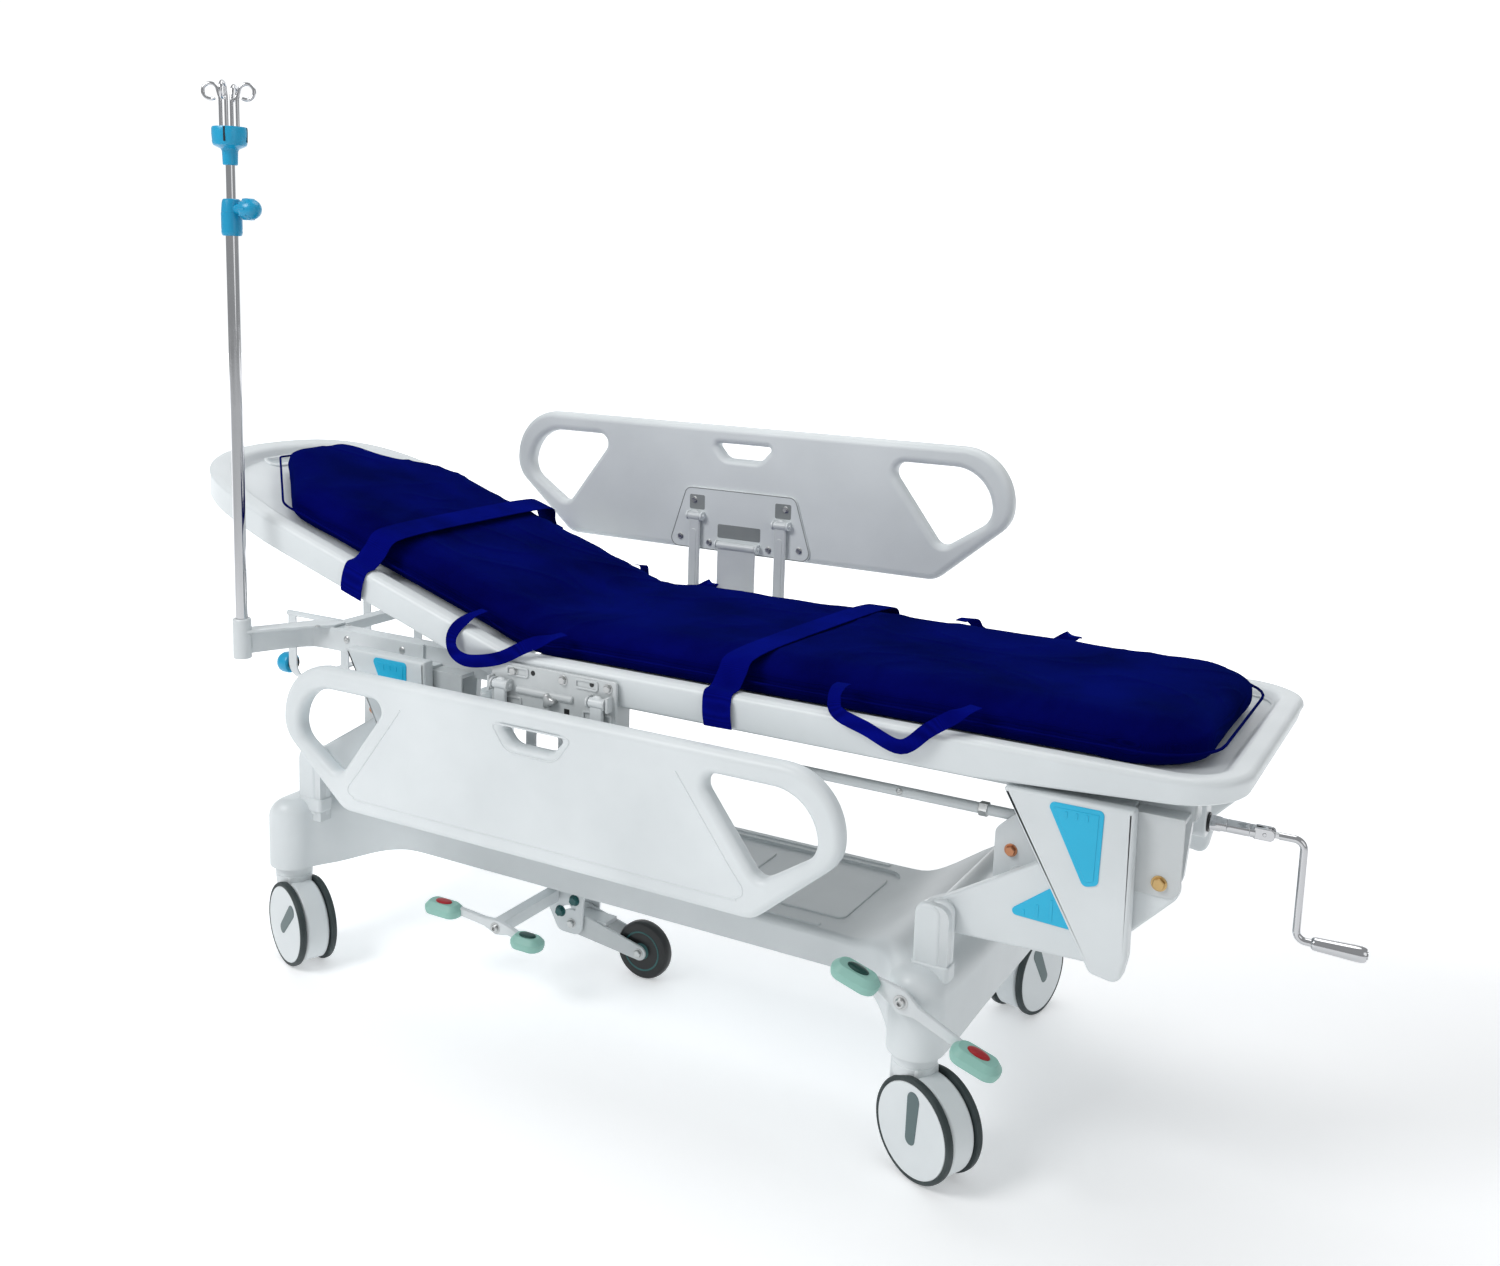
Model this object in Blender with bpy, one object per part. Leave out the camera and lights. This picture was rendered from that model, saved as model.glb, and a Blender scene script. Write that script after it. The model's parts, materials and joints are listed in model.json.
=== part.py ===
"""Stretcher trolley: wheeled base, parallelogram lift, moulded two-section deck and fold-down side rails.

Metres, +Z up. The origin is on the floor under the middle of the base.
The head end is at -X, the foot end at +X.
Each moving body has an empty on its joint, and the solids of that body are its children.
"""

import math

import bmesh
import bpy
from mathutils import Matrix, Vector

# ---------------------------------------------------------------- driving dimensions
GAP = 0.0004

LEG_X = 0.6006
LEG_Y = 0.2806
LEG_RADIUS = 0.042
LEG_BOTTOM = 0.173
BASE_HALF_WIDTH = 0.1579
BASE_BOTTOM = 0.1915
END_BOTTOM = 0.1814
BASE_TOP = 0.2461
SHOULDER_TOP = 0.2982
SHOULDER_START = 0.504
WALL = 0.0042

WHEEL_RADIUS = 0.075
WHEEL_HALF_WIDTH = 0.034
HOOD_HALF_WIDTH = 0.0218
CASTOR_TRAIL = 0.0336
CASTORS = {
    "foot_near": (1, -1, -25.0),
    "foot_far": (1, 1, -102.0),
    "head_near": (-1, -1, -22.0),
    "head_far": (-1, 1, -15.0),
}

FIFTH_WHEEL_RADIUS = 0.0525
FIFTH_Y = -0.0168
FIFTH_PIVOT = (-0.1561, 0.0773)
FIFTH_AXLE = (-0.0175, 0.0528)
CENTRE_SHAFT = (-0.1922, 0.126)
CORNER_PEDAL = (0.5981, 0.2671)
CORNER_PEDAL_TILT = 17.0
PEDAL_PIN_RADIUS = 0.0071

ARM_PIVOT_Z = 0.3612
ARM_PIVOT_FOOT_X = 0.6132
ARM_RUN = 0.2965
ARM_RISE = 0.1201
HEAD_SHIFT = -1.176
ARM_INNER_Y = 0.2251
ARM_OUTER_Y = 0.2486
PANEL_INNER_Y = 0.252
PANEL_OUTER_Y = 0.2772
TIE_OFFSET = (0.1008, 0.1428)
LEVER_BOSS = (0.0941, 0.0672)

FRAME_HEAD_X = -0.6
FRAME_FOOT_X = 0.9408
FRAME_INNER_Y = 0.1915
FRAME_OUTER_Y = 0.2201
FRAME_BOTTOM = 0.5611
FRAME_TOP = 0.6014
PANEL_TOP = {"foot": 0.5785, "head": 0.59}

DECK_HALF_WIDTH = 0.2814
DECK_FOOT_X = 1.008
RIM_WIDTH = 0.0437
RIM_BOTTOM = 0.5796
FOOT_RIM_BOTTOM = 0.6014
RIM_TOP = 0.6342
PLATFORM_BOTTOM = 0.6044
PLATFORM_TOP = 0.6174
FOOT_CORNER = 0.0924

HINGE_X = -0.126
HINGE_Z = 0.6283
BACKREST_LENGTH = 0.84
NARROWING_START = 0.5544
BACKREST_REST_DEG = 17.6
MATTRESS_THICKNESS = 0.0554
BACK_THICKNESS = 0.0638
MATTRESS_HALF_WIDTH = 0.2318
MATTRESS_BACK_LENGTH = 0.7476
MATTRESS_CHAMFER = 0.1806

RAIL_CENTRE_X = -0.0294
RAIL_LENGTH = 1.0626
RAIL_HEIGHT = 0.2428
RAIL_INNER_Y = 0.31
RAIL_OUTER_Y = 0.3436
RAIL_PIVOT_Y = 0.2982
RAIL_PIVOT_Z = 0.588
RAIL_ARM = 0.194
RAIL_ARM_SPACING = 0.0924
RAIL_LINK_DROP = 0.0504
RAIL_PIVOT_ABOVE_BOTTOM = 0.068
EAR_THICKNESS = 0.0038
KNOB_Z = 0.5746

POLE_X = -0.6577
POLE_Y = -0.336
POLE_TOP = 1.3314
COLLAR_LOW = 1.2802
COLLAR_HIGH = 1.3406
CUP_LOW = 1.3952
CUP_HIGH = 1.4566
HOOK_PIVOT_Z = 1.4465
HOOK_FIRST_DEG = 30.0
HOOK_OFFSET = 0.0139
HOOK_EYE = (0.0158, 0.0668)
HOOK_EYE_RADIUS = 0.0125
HOOK_WIRE_RADIUS = 0.0031

CRANK_Y = -0.1008
CRANK_Z = 0.5225
CRANK_FOLD_X = 1.0122
CRANK_THROW = 0.1386
CRANK_ROD_END = 1.1525
CRANK_BEND = 0.013


# ---------------------------------------------------------------- scene, materials and bodies
def clear_scene():
    for obj in list(bpy.data.objects):
        bpy.data.objects.remove(obj, do_unlink=True)


def material(name, colour, roughness, metallic=0.0):
    made = bpy.data.materials.new(name)
    made.use_nodes = True
    shader = made.node_tree.nodes["Principled BSDF"]
    shader.inputs["Base Color"].default_value = (*colour, 1.0)
    shader.inputs["Roughness"].default_value = roughness
    shader.inputs["Metallic"].default_value = metallic
    return made


def body(name, parent=None, origin=(0, 0, 0), tilt=(0, 0, 0)):
    """An empty on the body's joint. tilt is its rest rotation, in degrees about X, Y and Z."""
    empty = bpy.data.objects.new("body_" + name, None)
    bpy.context.scene.collection.objects.link(empty)
    world = Matrix.Translation(origin) @ euler_matrix(tilt)
    if parent is not None:
        empty.parent = parent
    bpy.context.view_layer.update()
    empty.matrix_world = world
    bpy.context.view_layer.update()
    return empty


def euler_matrix(degrees):
    turned = Matrix.Identity(4)
    for axis, angle in zip("XYZ", degrees):
        turned = Matrix.Rotation(math.radians(angle), 4, axis) @ turned
    return turned


def piece(name, on_body, mesh, finish, local=False):
    """Makes the mesh a named object on a body. The mesh is in world places, or in the body's own if local."""
    if not local:
        mesh.transform(on_body.matrix_world.inverted())
    obj = bpy.data.objects.new(name, mesh)
    mesh.name = name
    mesh.materials.clear()
    mesh.materials.append(finish)
    bpy.context.scene.collection.objects.link(obj)
    obj.parent = on_body
    mesh.shade_smooth()
    mesh.set_sharp_from_angle(angle=math.radians(35))
    return obj


# ---------------------------------------------------------------- shapes, each returned as a mesh
def to_mesh(bm):
    bmesh.ops.remove_doubles(bm, verts=bm.verts, dist=1e-6)
    bmesh.ops.recalc_face_normals(bm, faces=bm.faces)
    mesh = bpy.data.meshes.new("shape")
    bm.to_mesh(mesh)
    bm.free()
    return mesh


def prism(points, axis, low, high):
    """An outline pushed along an axis. Its points are (y, z) for X, (x, z) for Y and (x, y) for Z."""
    place = {
        "X": lambda a, b, h: (h, a, b),
        "Y": lambda a, b, h: (a, h, b),
        "Z": lambda a, b, h: (a, b, h),
    }[axis]
    bm = bmesh.new()
    rings = [[bm.verts.new(place(a, b, h)) for a, b in points] for h in (low, high)]
    bm.faces.new(rings[0])
    bm.faces.new(list(reversed(rings[1])))
    count = len(points)
    for i in range(count):
        j = (i + 1) % count
        bm.faces.new((rings[0][i], rings[1][i], rings[1][j], rings[0][j]))
    return to_mesh(bm)


def box(low, high):
    (x0, y0, z0), (x1, y1, z1) = low, high
    return prism([(x0, y0), (x1, y0), (x1, y1), (x0, y1)], "Z", z0, z1)


def side_box(side, x0, x1, y_in, y_out, z0, z1):
    """A box on one side of the trolley: side is -1 for the near side and 1 for the far side."""
    low, high = side_span(side, y_in, y_out)
    return box((x0, low, z0), (x1, high, z1))


def side_span(side, y_in, y_out):
    """The two Y values of a span on one side of the trolley, in rising order."""
    return sorted((side * y_in, side * y_out))


def frame_of(direction):
    along = Vector(direction).normalized()
    helper = Vector((0, 0, 1)) if abs(along.z) < 0.9 else Vector((1, 0, 0))
    across = helper.cross(along).normalized()
    return along, across, along.cross(across)


def cylinder(start, end, radius, segments=20):
    return sweep([start, end], radius, segments)


def sweep(path, radius, segments=8):
    """A round bar along a path, with flat ends."""
    points = [Vector(p) for p in path]
    bm = bmesh.new()
    rings = []
    normal = frame_of(points[1] - points[0])[1]
    for i, point in enumerate(points):
        before, after = points[max(i - 1, 0)], points[min(i + 1, len(points) - 1)]
        along = (after - before).normalized()
        normal = (normal - along * normal.dot(along)).normalized()
        other = along.cross(normal)
        ring = []
        for k in range(segments):
            angle = 2 * math.pi * k / segments
            turned = math.cos(angle) * normal + math.sin(angle) * other
            ring.append(bm.verts.new(point + radius * turned))
        rings.append(ring)
    for a, b in zip(rings, rings[1:]):
        for k in range(segments):
            m = (k + 1) % segments
            bm.faces.new((a[k], a[m], b[m], b[k]))
    bm.faces.new(list(reversed(rings[0])))
    bm.faces.new(rings[-1])
    return to_mesh(bm)


def lathe(profile, origin, direction, segments=24):
    """A turned shape. profile is (distance along the direction, radius), from one end to the other."""
    along, across, other = frame_of(direction)
    origin = Vector(origin)
    bm = bmesh.new()
    rings = []
    for distance, radius in profile:
        centre = origin + along * distance
        if radius < 1e-6:
            rings.append([bm.verts.new(centre)])
            continue
        ring = []
        for k in range(segments):
            angle = 2 * math.pi * k / segments
            turned = math.cos(angle) * across + math.sin(angle) * other
            ring.append(bm.verts.new(centre + radius * turned))
        rings.append(ring)
    for a, b in zip(rings, rings[1:]):
        for k in range(segments):
            m = (k + 1) % segments
            if len(a) == 1:
                bm.faces.new((a[0], b[m], b[k]))
            elif len(b) == 1:
                bm.faces.new((a[k], a[m], b[0]))
            else:
                bm.faces.new((a[k], a[m], b[m], b[k]))
    for ring, flip in ((rings[0], True), (rings[-1], False)):
        if len(ring) > 1:
            bm.faces.new(list(reversed(ring)) if flip else ring)
    return to_mesh(bm)


def rounded(corners, steps=4):
    """An outline whose corners (a, b, radius) are turned into arcs."""
    outline = []
    count = len(corners)
    for i, (a, b, radius) in enumerate(corners):
        here = Vector((a, b))
        to_last = (Vector(corners[i - 1][:2]) - here).normalized()
        to_next = (Vector(corners[(i + 1) % count][:2]) - here).normalized()
        if radius <= 0:
            outline.append((a, b))
            continue
        half = to_last.angle(to_next) / 2
        middle = here + (to_last + to_next).normalized() * radius / math.sin(half)
        start = here + to_last * radius / math.tan(half) - middle
        turn = start.angle_signed(here + to_next * radius / math.tan(half) - middle)
        for k in range(steps + 1):
            angle = -turn * k / steps
            c, s = math.cos(angle), math.sin(angle)
            outline.append(tuple(middle + Vector((start.x * c - start.y * s, start.x * s + start.y * c))))
    return outline


def capsule(a, b, radius_a, radius_b, steps=8):
    """The outline of a plate with a round end at a and another at b."""
    a, b = Vector(a), Vector(b)
    heading = math.atan2(b.y - a.y, b.x - a.x)
    lean = math.asin((radius_a - radius_b) / (b - a).length)
    outline = []
    for centre, radius, first, last in (
        (b, radius_b, heading - math.pi / 2 + lean, heading + math.pi / 2 - lean),
        (a, radius_a, heading + math.pi / 2 - lean, heading + 3 * math.pi / 2 + lean),
    ):
        for k in range(steps + 1):
            angle = first + (last - first) * k / steps
            outline.append((centre.x + radius * math.cos(angle), centre.y + radius * math.sin(angle)))
    return outline


def combine(first, others, operation):
    """Joins meshes to the first, or cuts them from it, and returns the new mesh."""
    scene = bpy.context.scene.collection
    target = bpy.data.objects.new("target", first)
    scene.objects.link(target)
    helpers = []
    for mesh in others:
        helper = bpy.data.objects.new("helper", mesh)
        scene.objects.link(helper)
        helpers.append(helper)
        boolean = target.modifiers.new("shape", "BOOLEAN")
        boolean.operation = operation
        boolean.solver = "EXACT"
        boolean.object = helper
    bpy.context.view_layer.update()
    graph = bpy.context.evaluated_depsgraph_get()
    made = bpy.data.meshes.new_from_object(target.evaluated_get(graph))
    for helper in [*helpers, target]:
        bpy.data.objects.remove(helper, do_unlink=True)
    return made


def union(*meshes):
    return combine(meshes[0], meshes[1:], "UNION")


def cut(mesh, *cutters):
    return combine(mesh, cutters, "DIFFERENCE")


def joined(adds, cutters=()):
    made = union(*adds)
    return cut(made, *cutters) if cutters else made


def mirrored_outline(half):
    """Closes an outline given for y > 0, from +X to -X, by repeating it for y < 0."""
    return half + [(x, -y) for x, y in reversed(half) if abs(y) > 1e-6]


# ---------------------------------------------------------------- base
def flare(inset, steps=5):
    """The concave side of the base, from its straight middle out to a leg, as (x, y) points."""
    start = (0.3948, BASE_HALF_WIDTH - inset)
    end = (LEG_X - LEG_RADIUS + inset, LEG_Y)
    points = []
    for k in range(steps + 1):
        t = k / steps
        points.append((start[0] + (end[0] - start[0]) * t, start[1] + (end[1] - start[1]) * t**2.6))
    return points


def leg_arc(inset, steps=6):
    radius = LEG_RADIUS - inset
    angles = [math.pi * (1 - k / steps) for k in range(1, steps + 1)]
    return [(LEG_X + radius * math.cos(a), LEG_Y + radius * math.sin(a)) for a in angles]


def quarter_outline(inset):
    """One quarter of the base in plan, from the middle of a long side to the middle of an end."""
    return flare(inset) + leg_arc(inset) + [(LEG_X + LEG_RADIUS - inset + 0.005, 0.1344)]


def base_outline(inset):
    quarter = quarter_outline(inset)
    half = list(reversed(quarter)) + [(-x, y) for x, y in quarter]
    return mirrored_outline(half)


def end_outline(inset, end):
    """The raised shoulder at one end of the base: the outline beyond where it starts."""
    start = SHOULDER_START + inset
    quarter = quarter_outline(inset)
    kept = [(x, y) for x, y in quarter if x > start]
    half = list(reversed(kept)) + [(start, kept[0][1] - 0.0034)]
    return [(end * x, y) for x, y in mirrored_outline(half)]


def leg_posts():
    return [(sx * LEG_X, sy * LEG_Y) for sx in (1, -1) for sy in (-1, 1)]


def lift_pivots():
    return (ARM_PIVOT_FOOT_X, ARM_PIVOT_FOOT_X + HEAD_SHIFT)


def lift_post_outline(x):
    """The post on the base that carries a lift arm, seen from the side."""
    half, foot, top, corner = 0.0252, 0.2604, 0.3881, 0.0185
    corners = [(x - half, foot, 0), (x + half, foot, 0), (x + half, top, corner), (x - half, top, corner)]
    return rounded(corners)


def base_cover_shape():
    """The moulded shell over the base, open underneath."""
    solids = [prism(base_outline(0), "Z", BASE_BOTTOM, BASE_TOP)]
    hollows = [prism(base_outline(WALL), "Z", BASE_BOTTOM - 0.0168, BASE_TOP - WALL)]
    for end in (1, -1):
        solids.append(prism(end_outline(0, end), "Z", END_BOTTOM, SHOULDER_TOP))
        hollows.append(prism(end_outline(WALL, end), "Z", END_BOTTOM - 0.0084, SHOULDER_TOP - WALL))
    for x, y in leg_posts():
        profile = [(0, LEG_RADIUS - 0.0025), (0.042, LEG_RADIUS - 0.0004)]
        solids.append(lathe(profile, (x, y, LEG_BOTTOM), (0, 0, 1), 20))
        inside = LEG_RADIUS - 0.0084
        hollows.append(cylinder((x, y, LEG_BOTTOM - 0.0084), (x, y, 0.2184), inside, 20))
    for x in lift_pivots():
        for side in (-1, 1):
            hollows.append(side_box(side, x - 0.0269, x + 0.0269, 0.2503, 0.2789, 0.252, 0.336))
    pedal_x, pedal_z = CORNER_PEDAL
    start, end = (pedal_x, -0.3444, pedal_z), (pedal_x, -0.294, pedal_z)
    hollows.append(cylinder(start, end, PEDAL_PIN_RADIUS + 0.0006, 16))
    return joined(solids, hollows)


def base_frame_shape():
    """The welded frame inside the base: two long beams, crossbeams, castor tubes and lift posts."""
    beams = [box((-0.588, y - 0.0126, 0.2058), (0.588, y + 0.0126, 0.2352)) for y in (-0.0966, 0.0966)]
    beams.append(box((-0.2022, -0.0924, 0.2062), (-0.1008, 0.0924, 0.231)))
    for end in (1, -1):
        beams.append(box((end * LEG_X - 0.0151, -0.273, 0.21), (end * LEG_X + 0.0151, 0.273, 0.2386)))
    bores = []
    for x, y in leg_posts():
        beams.append(cylinder((x, y, LEG_BOTTOM + 0.005), (x, y, 0.2839), 0.0244, 20))
        bores.append(cylinder((x, y, LEG_BOTTOM), (x, y, 0.2554), 0.0109, 20))
    for x in lift_pivots():
        for side in (-1, 1):
            low, high = side_span(side, PANEL_INNER_Y, PANEL_OUTER_Y)
            beams.append(prism(lift_post_outline(x), "Y", low, high))
            tab = sorted((math.copysign(0.5746, x), math.copysign(0.6115, x)))
            beams.append(box((tab[0], low, 0.2142), (tab[1], high, 0.2772)))
            start, end = (x, low - 0.0084, ARM_PIVOT_Z), (x, high + 0.0084, ARM_PIVOT_Z)
            bores.append(cylinder(start, end, 0.0071, 16))
    pedal_x, pedal_z = CORNER_PEDAL
    start, end = (pedal_x, -0.336, pedal_z), (pedal_x, -0.2873, pedal_z)
    bores.append(cylinder(start, end, PEDAL_PIN_RADIUS + 0.0003, 16))
    return joined(beams, bores)


def make_base(root, plastic, steel):
    piece("base_cover", root, base_cover_shape(), plastic)
    piece("base_frame", root, base_frame_shape(), steel)


# ---------------------------------------------------------------- castors
def castor_fork():
    """The hood between the two discs, its neck and its stem. It swivels about Z, with the axle along +X."""
    axle = Vector((CASTOR_TRAIL, 0, WHEEL_RADIUS))
    aside = Vector((0, 0.042, 0))
    neck = cut(
        cylinder((0, 0, 0.1176), (0, 0, LEG_BOTTOM - GAP), 0.0319, 24),
        cylinder(axle - aside, axle + aside, WHEEL_RADIUS + 0.0021, 32),
    )
    half = Vector((0, HOOD_HALF_WIDTH, 0))
    hood = cylinder(axle - half, axle + half, WHEEL_RADIUS - 0.0034, 28)
    web = box((-0.0286, -HOOD_HALF_WIDTH, 0.1092), (0.0286, HOOD_HALF_WIDTH, LEG_BOTTOM - 0.0017))
    stem = cylinder((0, 0, 0.168), (0, 0, 0.252), 0.0106, 16)
    under = box((-0.084, -0.042, -0.0084), (0.168, 0.042, 0.0185))
    bore = cylinder(axle - aside, axle + aside, 0.0076, 12)
    return joined([hood, web, neck, stem], [under, bore])


def castor_wheel():
    """Two discs with tyres on one axle, turned about Y."""
    inner, outer = HOOD_HALF_WIDTH + 0.0007, WHEEL_HALF_WIDTH
    half = [(inner, 0.0067), (inner, WHEEL_RADIUS - 0.0034), (inner + 0.0034, WHEEL_RADIUS)]
    half += [(outer - 0.0042, WHEEL_RADIUS - 0.0013), (outer, WHEEL_RADIUS - 0.0084), (outer, 0.0)]
    profile = [(-y, r) for y, r in reversed(half)] + half
    return lathe(profile, (CASTOR_TRAIL, 0, WHEEL_RADIUS), (0, 1, 0), 24)


def make_castors(root, plastic, tyre):
    for name, (end, side, swivel) in CASTORS.items():
        origin = Vector((end * LEG_X, side * LEG_Y, 0))
        turning = body("castor_" + name, root, origin, (0, 0, swivel))
        piece("castor_" + name + "_fork", turning, castor_fork(), plastic, local=True)
        axle = turning.matrix_world @ Vector((CASTOR_TRAIL, 0, WHEEL_RADIUS))
        rolling = body("castor_" + name + "_wheel", turning, axle, (0, 0, swivel))
        wheel = castor_wheel()
        wheel.transform(Matrix.Translation((-CASTOR_TRAIL, 0, -WHEEL_RADIUS)))
        piece("castor_" + name + "_wheel", rolling, wheel, tyre, local=True)


# ---------------------------------------------------------------- fifth wheel and pedals
def fifth_wheel_bracket_shape():
    """Two cheeks under a top plate. They carry the fork's pin and the centre pedal's shaft."""
    (px, pz), (sx, sz) = FIFTH_PIVOT, CENTRE_SHAFT
    x0, x1, top = px - 0.0554, px + 0.0286, 0.2054
    corners = [
        (x0, top, 0),
        (x0, 0.1058, 0.0168),
        (px - 0.0285, 0.0571, 0.0185),
        (px + 0.0219, 0.0571, 0.0185),
        (x1, top, 0),
    ]
    adds = [box((x0, FIFTH_Y - 0.0277, top - 0.0055), (x1, FIFTH_Y + 0.0277, top + 0.0004))]
    for side in (-1, 1):
        low, high = sorted((FIFTH_Y + side * 0.0239, FIFTH_Y + side * 0.029))
        adds.append(prism(rounded(corners), "Y", low, high))
    near, far = FIFTH_Y - 0.042, FIFTH_Y + 0.042
    pin_bore = cylinder((px, near, pz), (px, far, pz), 0.0054, 12)
    shaft_bore = cylinder((sx, near, sz), (sx, far, sz), 0.0076, 16)
    return joined(adds, [pin_bore, shaft_bore])


def fifth_wheel_fork_shape():
    """A channel that reaches from its pin to the axle of the fifth wheel."""
    (px, pz), (ax, az) = FIFTH_PIVOT, FIFTH_AXLE
    adds = [box((px + 0.0017, FIFTH_Y - 0.0176, pz + 0.005), (px + 0.0672, FIFTH_Y + 0.0176, pz + 0.0134))]
    for side in (-1, 1):
        low, high = sorted((FIFTH_Y + side * 0.0164, FIFTH_Y + side * 0.0214))
        adds.append(prism(capsule((px, pz), (ax, az), 0.0218, 0.0134), "Y", low, high))
    adds.append(cylinder((px, FIFTH_Y - 0.0286, pz), (px, FIFTH_Y + 0.0286, pz), 0.005, 12))
    bore = cylinder((ax, FIFTH_Y - 0.042, az), (ax, FIFTH_Y + 0.042, az), 0.0045, 12)
    return joined(adds, [bore])


def make_fifth_wheel(root, steel, tyre):
    piece("fifth_wheel_bracket", root, fifth_wheel_bracket_shape(), steel)
    swing = body("fifth_wheel_fork", root, (FIFTH_PIVOT[0], FIFTH_Y, FIFTH_PIVOT[1]))
    piece("fifth_wheel_fork", swing, fifth_wheel_fork_shape(), steel)

    axle = (FIFTH_AXLE[0], FIFTH_Y, FIFTH_AXLE[1])
    rolling = body("fifth_wheel", swing, axle)
    radius = FIFTH_WHEEL_RADIUS
    half = [(0.0, radius), (0.0067, radius - 0.0008), (0.0113, radius - 0.0059)]
    half += [(0.0113, 0.0134), (0.0147, 0.0134), (0.0147, 0.0042), (0.0206, 0.0042)]
    profile = [(-y, r) for y, r in reversed(half[1:])] + half
    piece("fifth_wheel", rolling, lathe(profile, axle, (0, 1, 0), 24), tyre)


def pedal_pad(x, z, y_out, y_in, half_length=0.0361):
    """A foot pad: a flat pill, long in the direction of the lever."""
    radius = 0.45 * abs(y_in - y_out)
    x0, x1 = x - half_length, x + half_length
    corners = [(x0, y_out, radius), (x1, y_out, radius), (x1, y_in, radius), (x0, y_in, radius)]
    return prism(rounded(corners, 3), "Z", z - 0.0109, z + 0.0109)


def corner_pedal_shape():
    """A bent lever on its shaft, with a pad at each end, about the shaft's own axis."""
    lever = [
        (-0.0504, 0.0, 0),
        (-0.0168, -0.0101, 0.0084),
        (0, -0.0185, 0.0101),
        (0.0252, -0.0118, 0.0084),
        (0.0966, -0.0185, 0),
        (0.0966, -0.0034, 0),
        (0.0252, 0.0067, 0.0101),
        (0.0, 0.0185, 0.0101),
        (-0.0252, 0.0168, 0.0084),
        (-0.0504, 0.0134, 0),
    ]
    shapes = [prism(rounded(lever, 3), "Y", -0.3402, -0.3326)]
    shapes.append(cylinder((0, -0.3335, 0), (0, -0.2898, 0), PEDAL_PIN_RADIUS, 16))
    shapes.append(pedal_pad(-0.0689, 0.0067, -0.3713, -0.3276))
    shapes.append(pedal_pad(0.1226, -0.0101, -0.3713, -0.3276))
    return union(*shapes)


def centre_pedal_shape():
    """A bent lever outside the base, an arm to its shaft, and a pad at each end."""
    lever = [
        (-0.0924, 0.005, 0),
        (-0.0252, -0.0017, 0.0084),
        (0, -0.0118, 0.0101),
        (0.0252, -0.0067, 0.0084),
        (0.0462, -0.0101, 0),
        (0.0462, 0.0034, 0),
        (0.0168, 0.0118, 0.0084),
        (0, 0.0151, 0.0101),
        (-0.0252, 0.0134, 0.0084),
        (-0.0924, 0.0185, 0),
    ]
    shapes = [prism(rounded(lever, 3), "Y", -0.2201, -0.21)]
    shapes.append(box((-0.0118, -0.2108, -0.0109), (0.0118, -0.0504, 0.0118)))
    shapes.append(cylinder((0, -0.0512, 0), (0, -0.0336, 0), 0.0072, 16))
    shapes.append(pedal_pad(-0.1109, 0.0118, -0.2419, -0.2016))
    shapes.append(pedal_pad(0.0697, -0.005, -0.2419, -0.2016, 0.0302))
    return union(*shapes)


def make_pedals(root, steel):
    px, pz = CORNER_PEDAL
    rocker = body("corner_pedal", root, (px, 0, pz), (0, CORNER_PEDAL_TILT, 0))
    piece("corner_pedal", rocker, corner_pedal_shape(), steel, local=True)
    cx, cz = CENTRE_SHAFT
    rocker = body("centre_pedal", root, (cx, 0, cz))
    piece("centre_pedal", rocker, centre_pedal_shape(), steel, local=True)


# ---------------------------------------------------------------- lift
def arm_outline(px):
    """The lift arm's side plate: it starts at the base pivot and widens to the frame pivot."""
    tip = (px + ARM_RUN, ARM_PIVOT_Z + ARM_RISE)
    corners = [
        (px - 0.0252, ARM_PIVOT_Z - 0.0218, 0.0134),
        (px + 0.2184, ARM_PIVOT_Z - 0.0143, 0.0168),
        (px + 0.2562, ARM_PIVOT_Z + 0.0336, 0.0252),
        (tip[0] + 0.0252, tip[1] - 0.0168, 0.0202),
        (tip[0] + 0.0218, tip[1] + 0.0252, 0.0185),
        (px + 0.1974, ARM_PIVOT_Z + 0.1478, 0.0504),
        (px + 0.0042, ARM_PIVOT_Z + 0.0286, 0.0252),
        (px - 0.0252, ARM_PIVOT_Z + 0.0168, 0.0118),
    ]
    return rounded(corners, 3)


def make_lift_yoke(name, root, px, steel):
    pivot = (px, 0, ARM_PIVOT_Z)
    yoke = body(name, root, pivot)
    tip_x, tip_z = px + ARM_RUN, ARM_PIVOT_Z + ARM_RISE
    shapes = []
    tube_y = ARM_INNER_Y + 0.0017
    for side in (-1, 1):
        low, high = side_span(side, ARM_INNER_Y, ARM_OUTER_Y)
        shapes.append(prism(arm_outline(px), "Y", low, high))
        inner, outer = side * (ARM_OUTER_Y - 0.0017), side * (PANEL_OUTER_Y - 0.0008)
        shapes.append(cylinder((px, inner, ARM_PIVOT_Z), (px, outer, ARM_PIVOT_Z), 0.0067, 16))
        inner, outer = side * (FRAME_INNER_Y + 0.0076), side * tube_y
        shapes.append(cylinder((tip_x, outer, tip_z), (tip_x, inner, tip_z), 0.0067, 16))
    shapes.append(cylinder((px, -tube_y, ARM_PIVOT_Z), (px, tube_y, ARM_PIVOT_Z), 0.016, 20))
    boss_x, boss_z = px + LEVER_BOSS[0], ARM_PIVOT_Z + LEVER_BOSS[1]
    tie_x, tie_z = px + TIE_OFFSET[0], ARM_PIVOT_Z + TIE_OFFSET[1]
    shapes.append(cylinder((boss_x, -0.2268, boss_z), (boss_x, -0.1915, boss_z), 0.0118, 16))
    plate = capsule((boss_x, boss_z), (tie_x, tie_z), 0.0218, 0.0143, 5)
    shapes.append(prism(plate, "Y", -0.197, -0.1903))
    shapes.append(cylinder((tie_x, -0.1915, tie_z), (tie_x, -0.1684, tie_z), 0.005, 12))
    piece(name, yoke, union(*shapes), steel)
    return yoke


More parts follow.
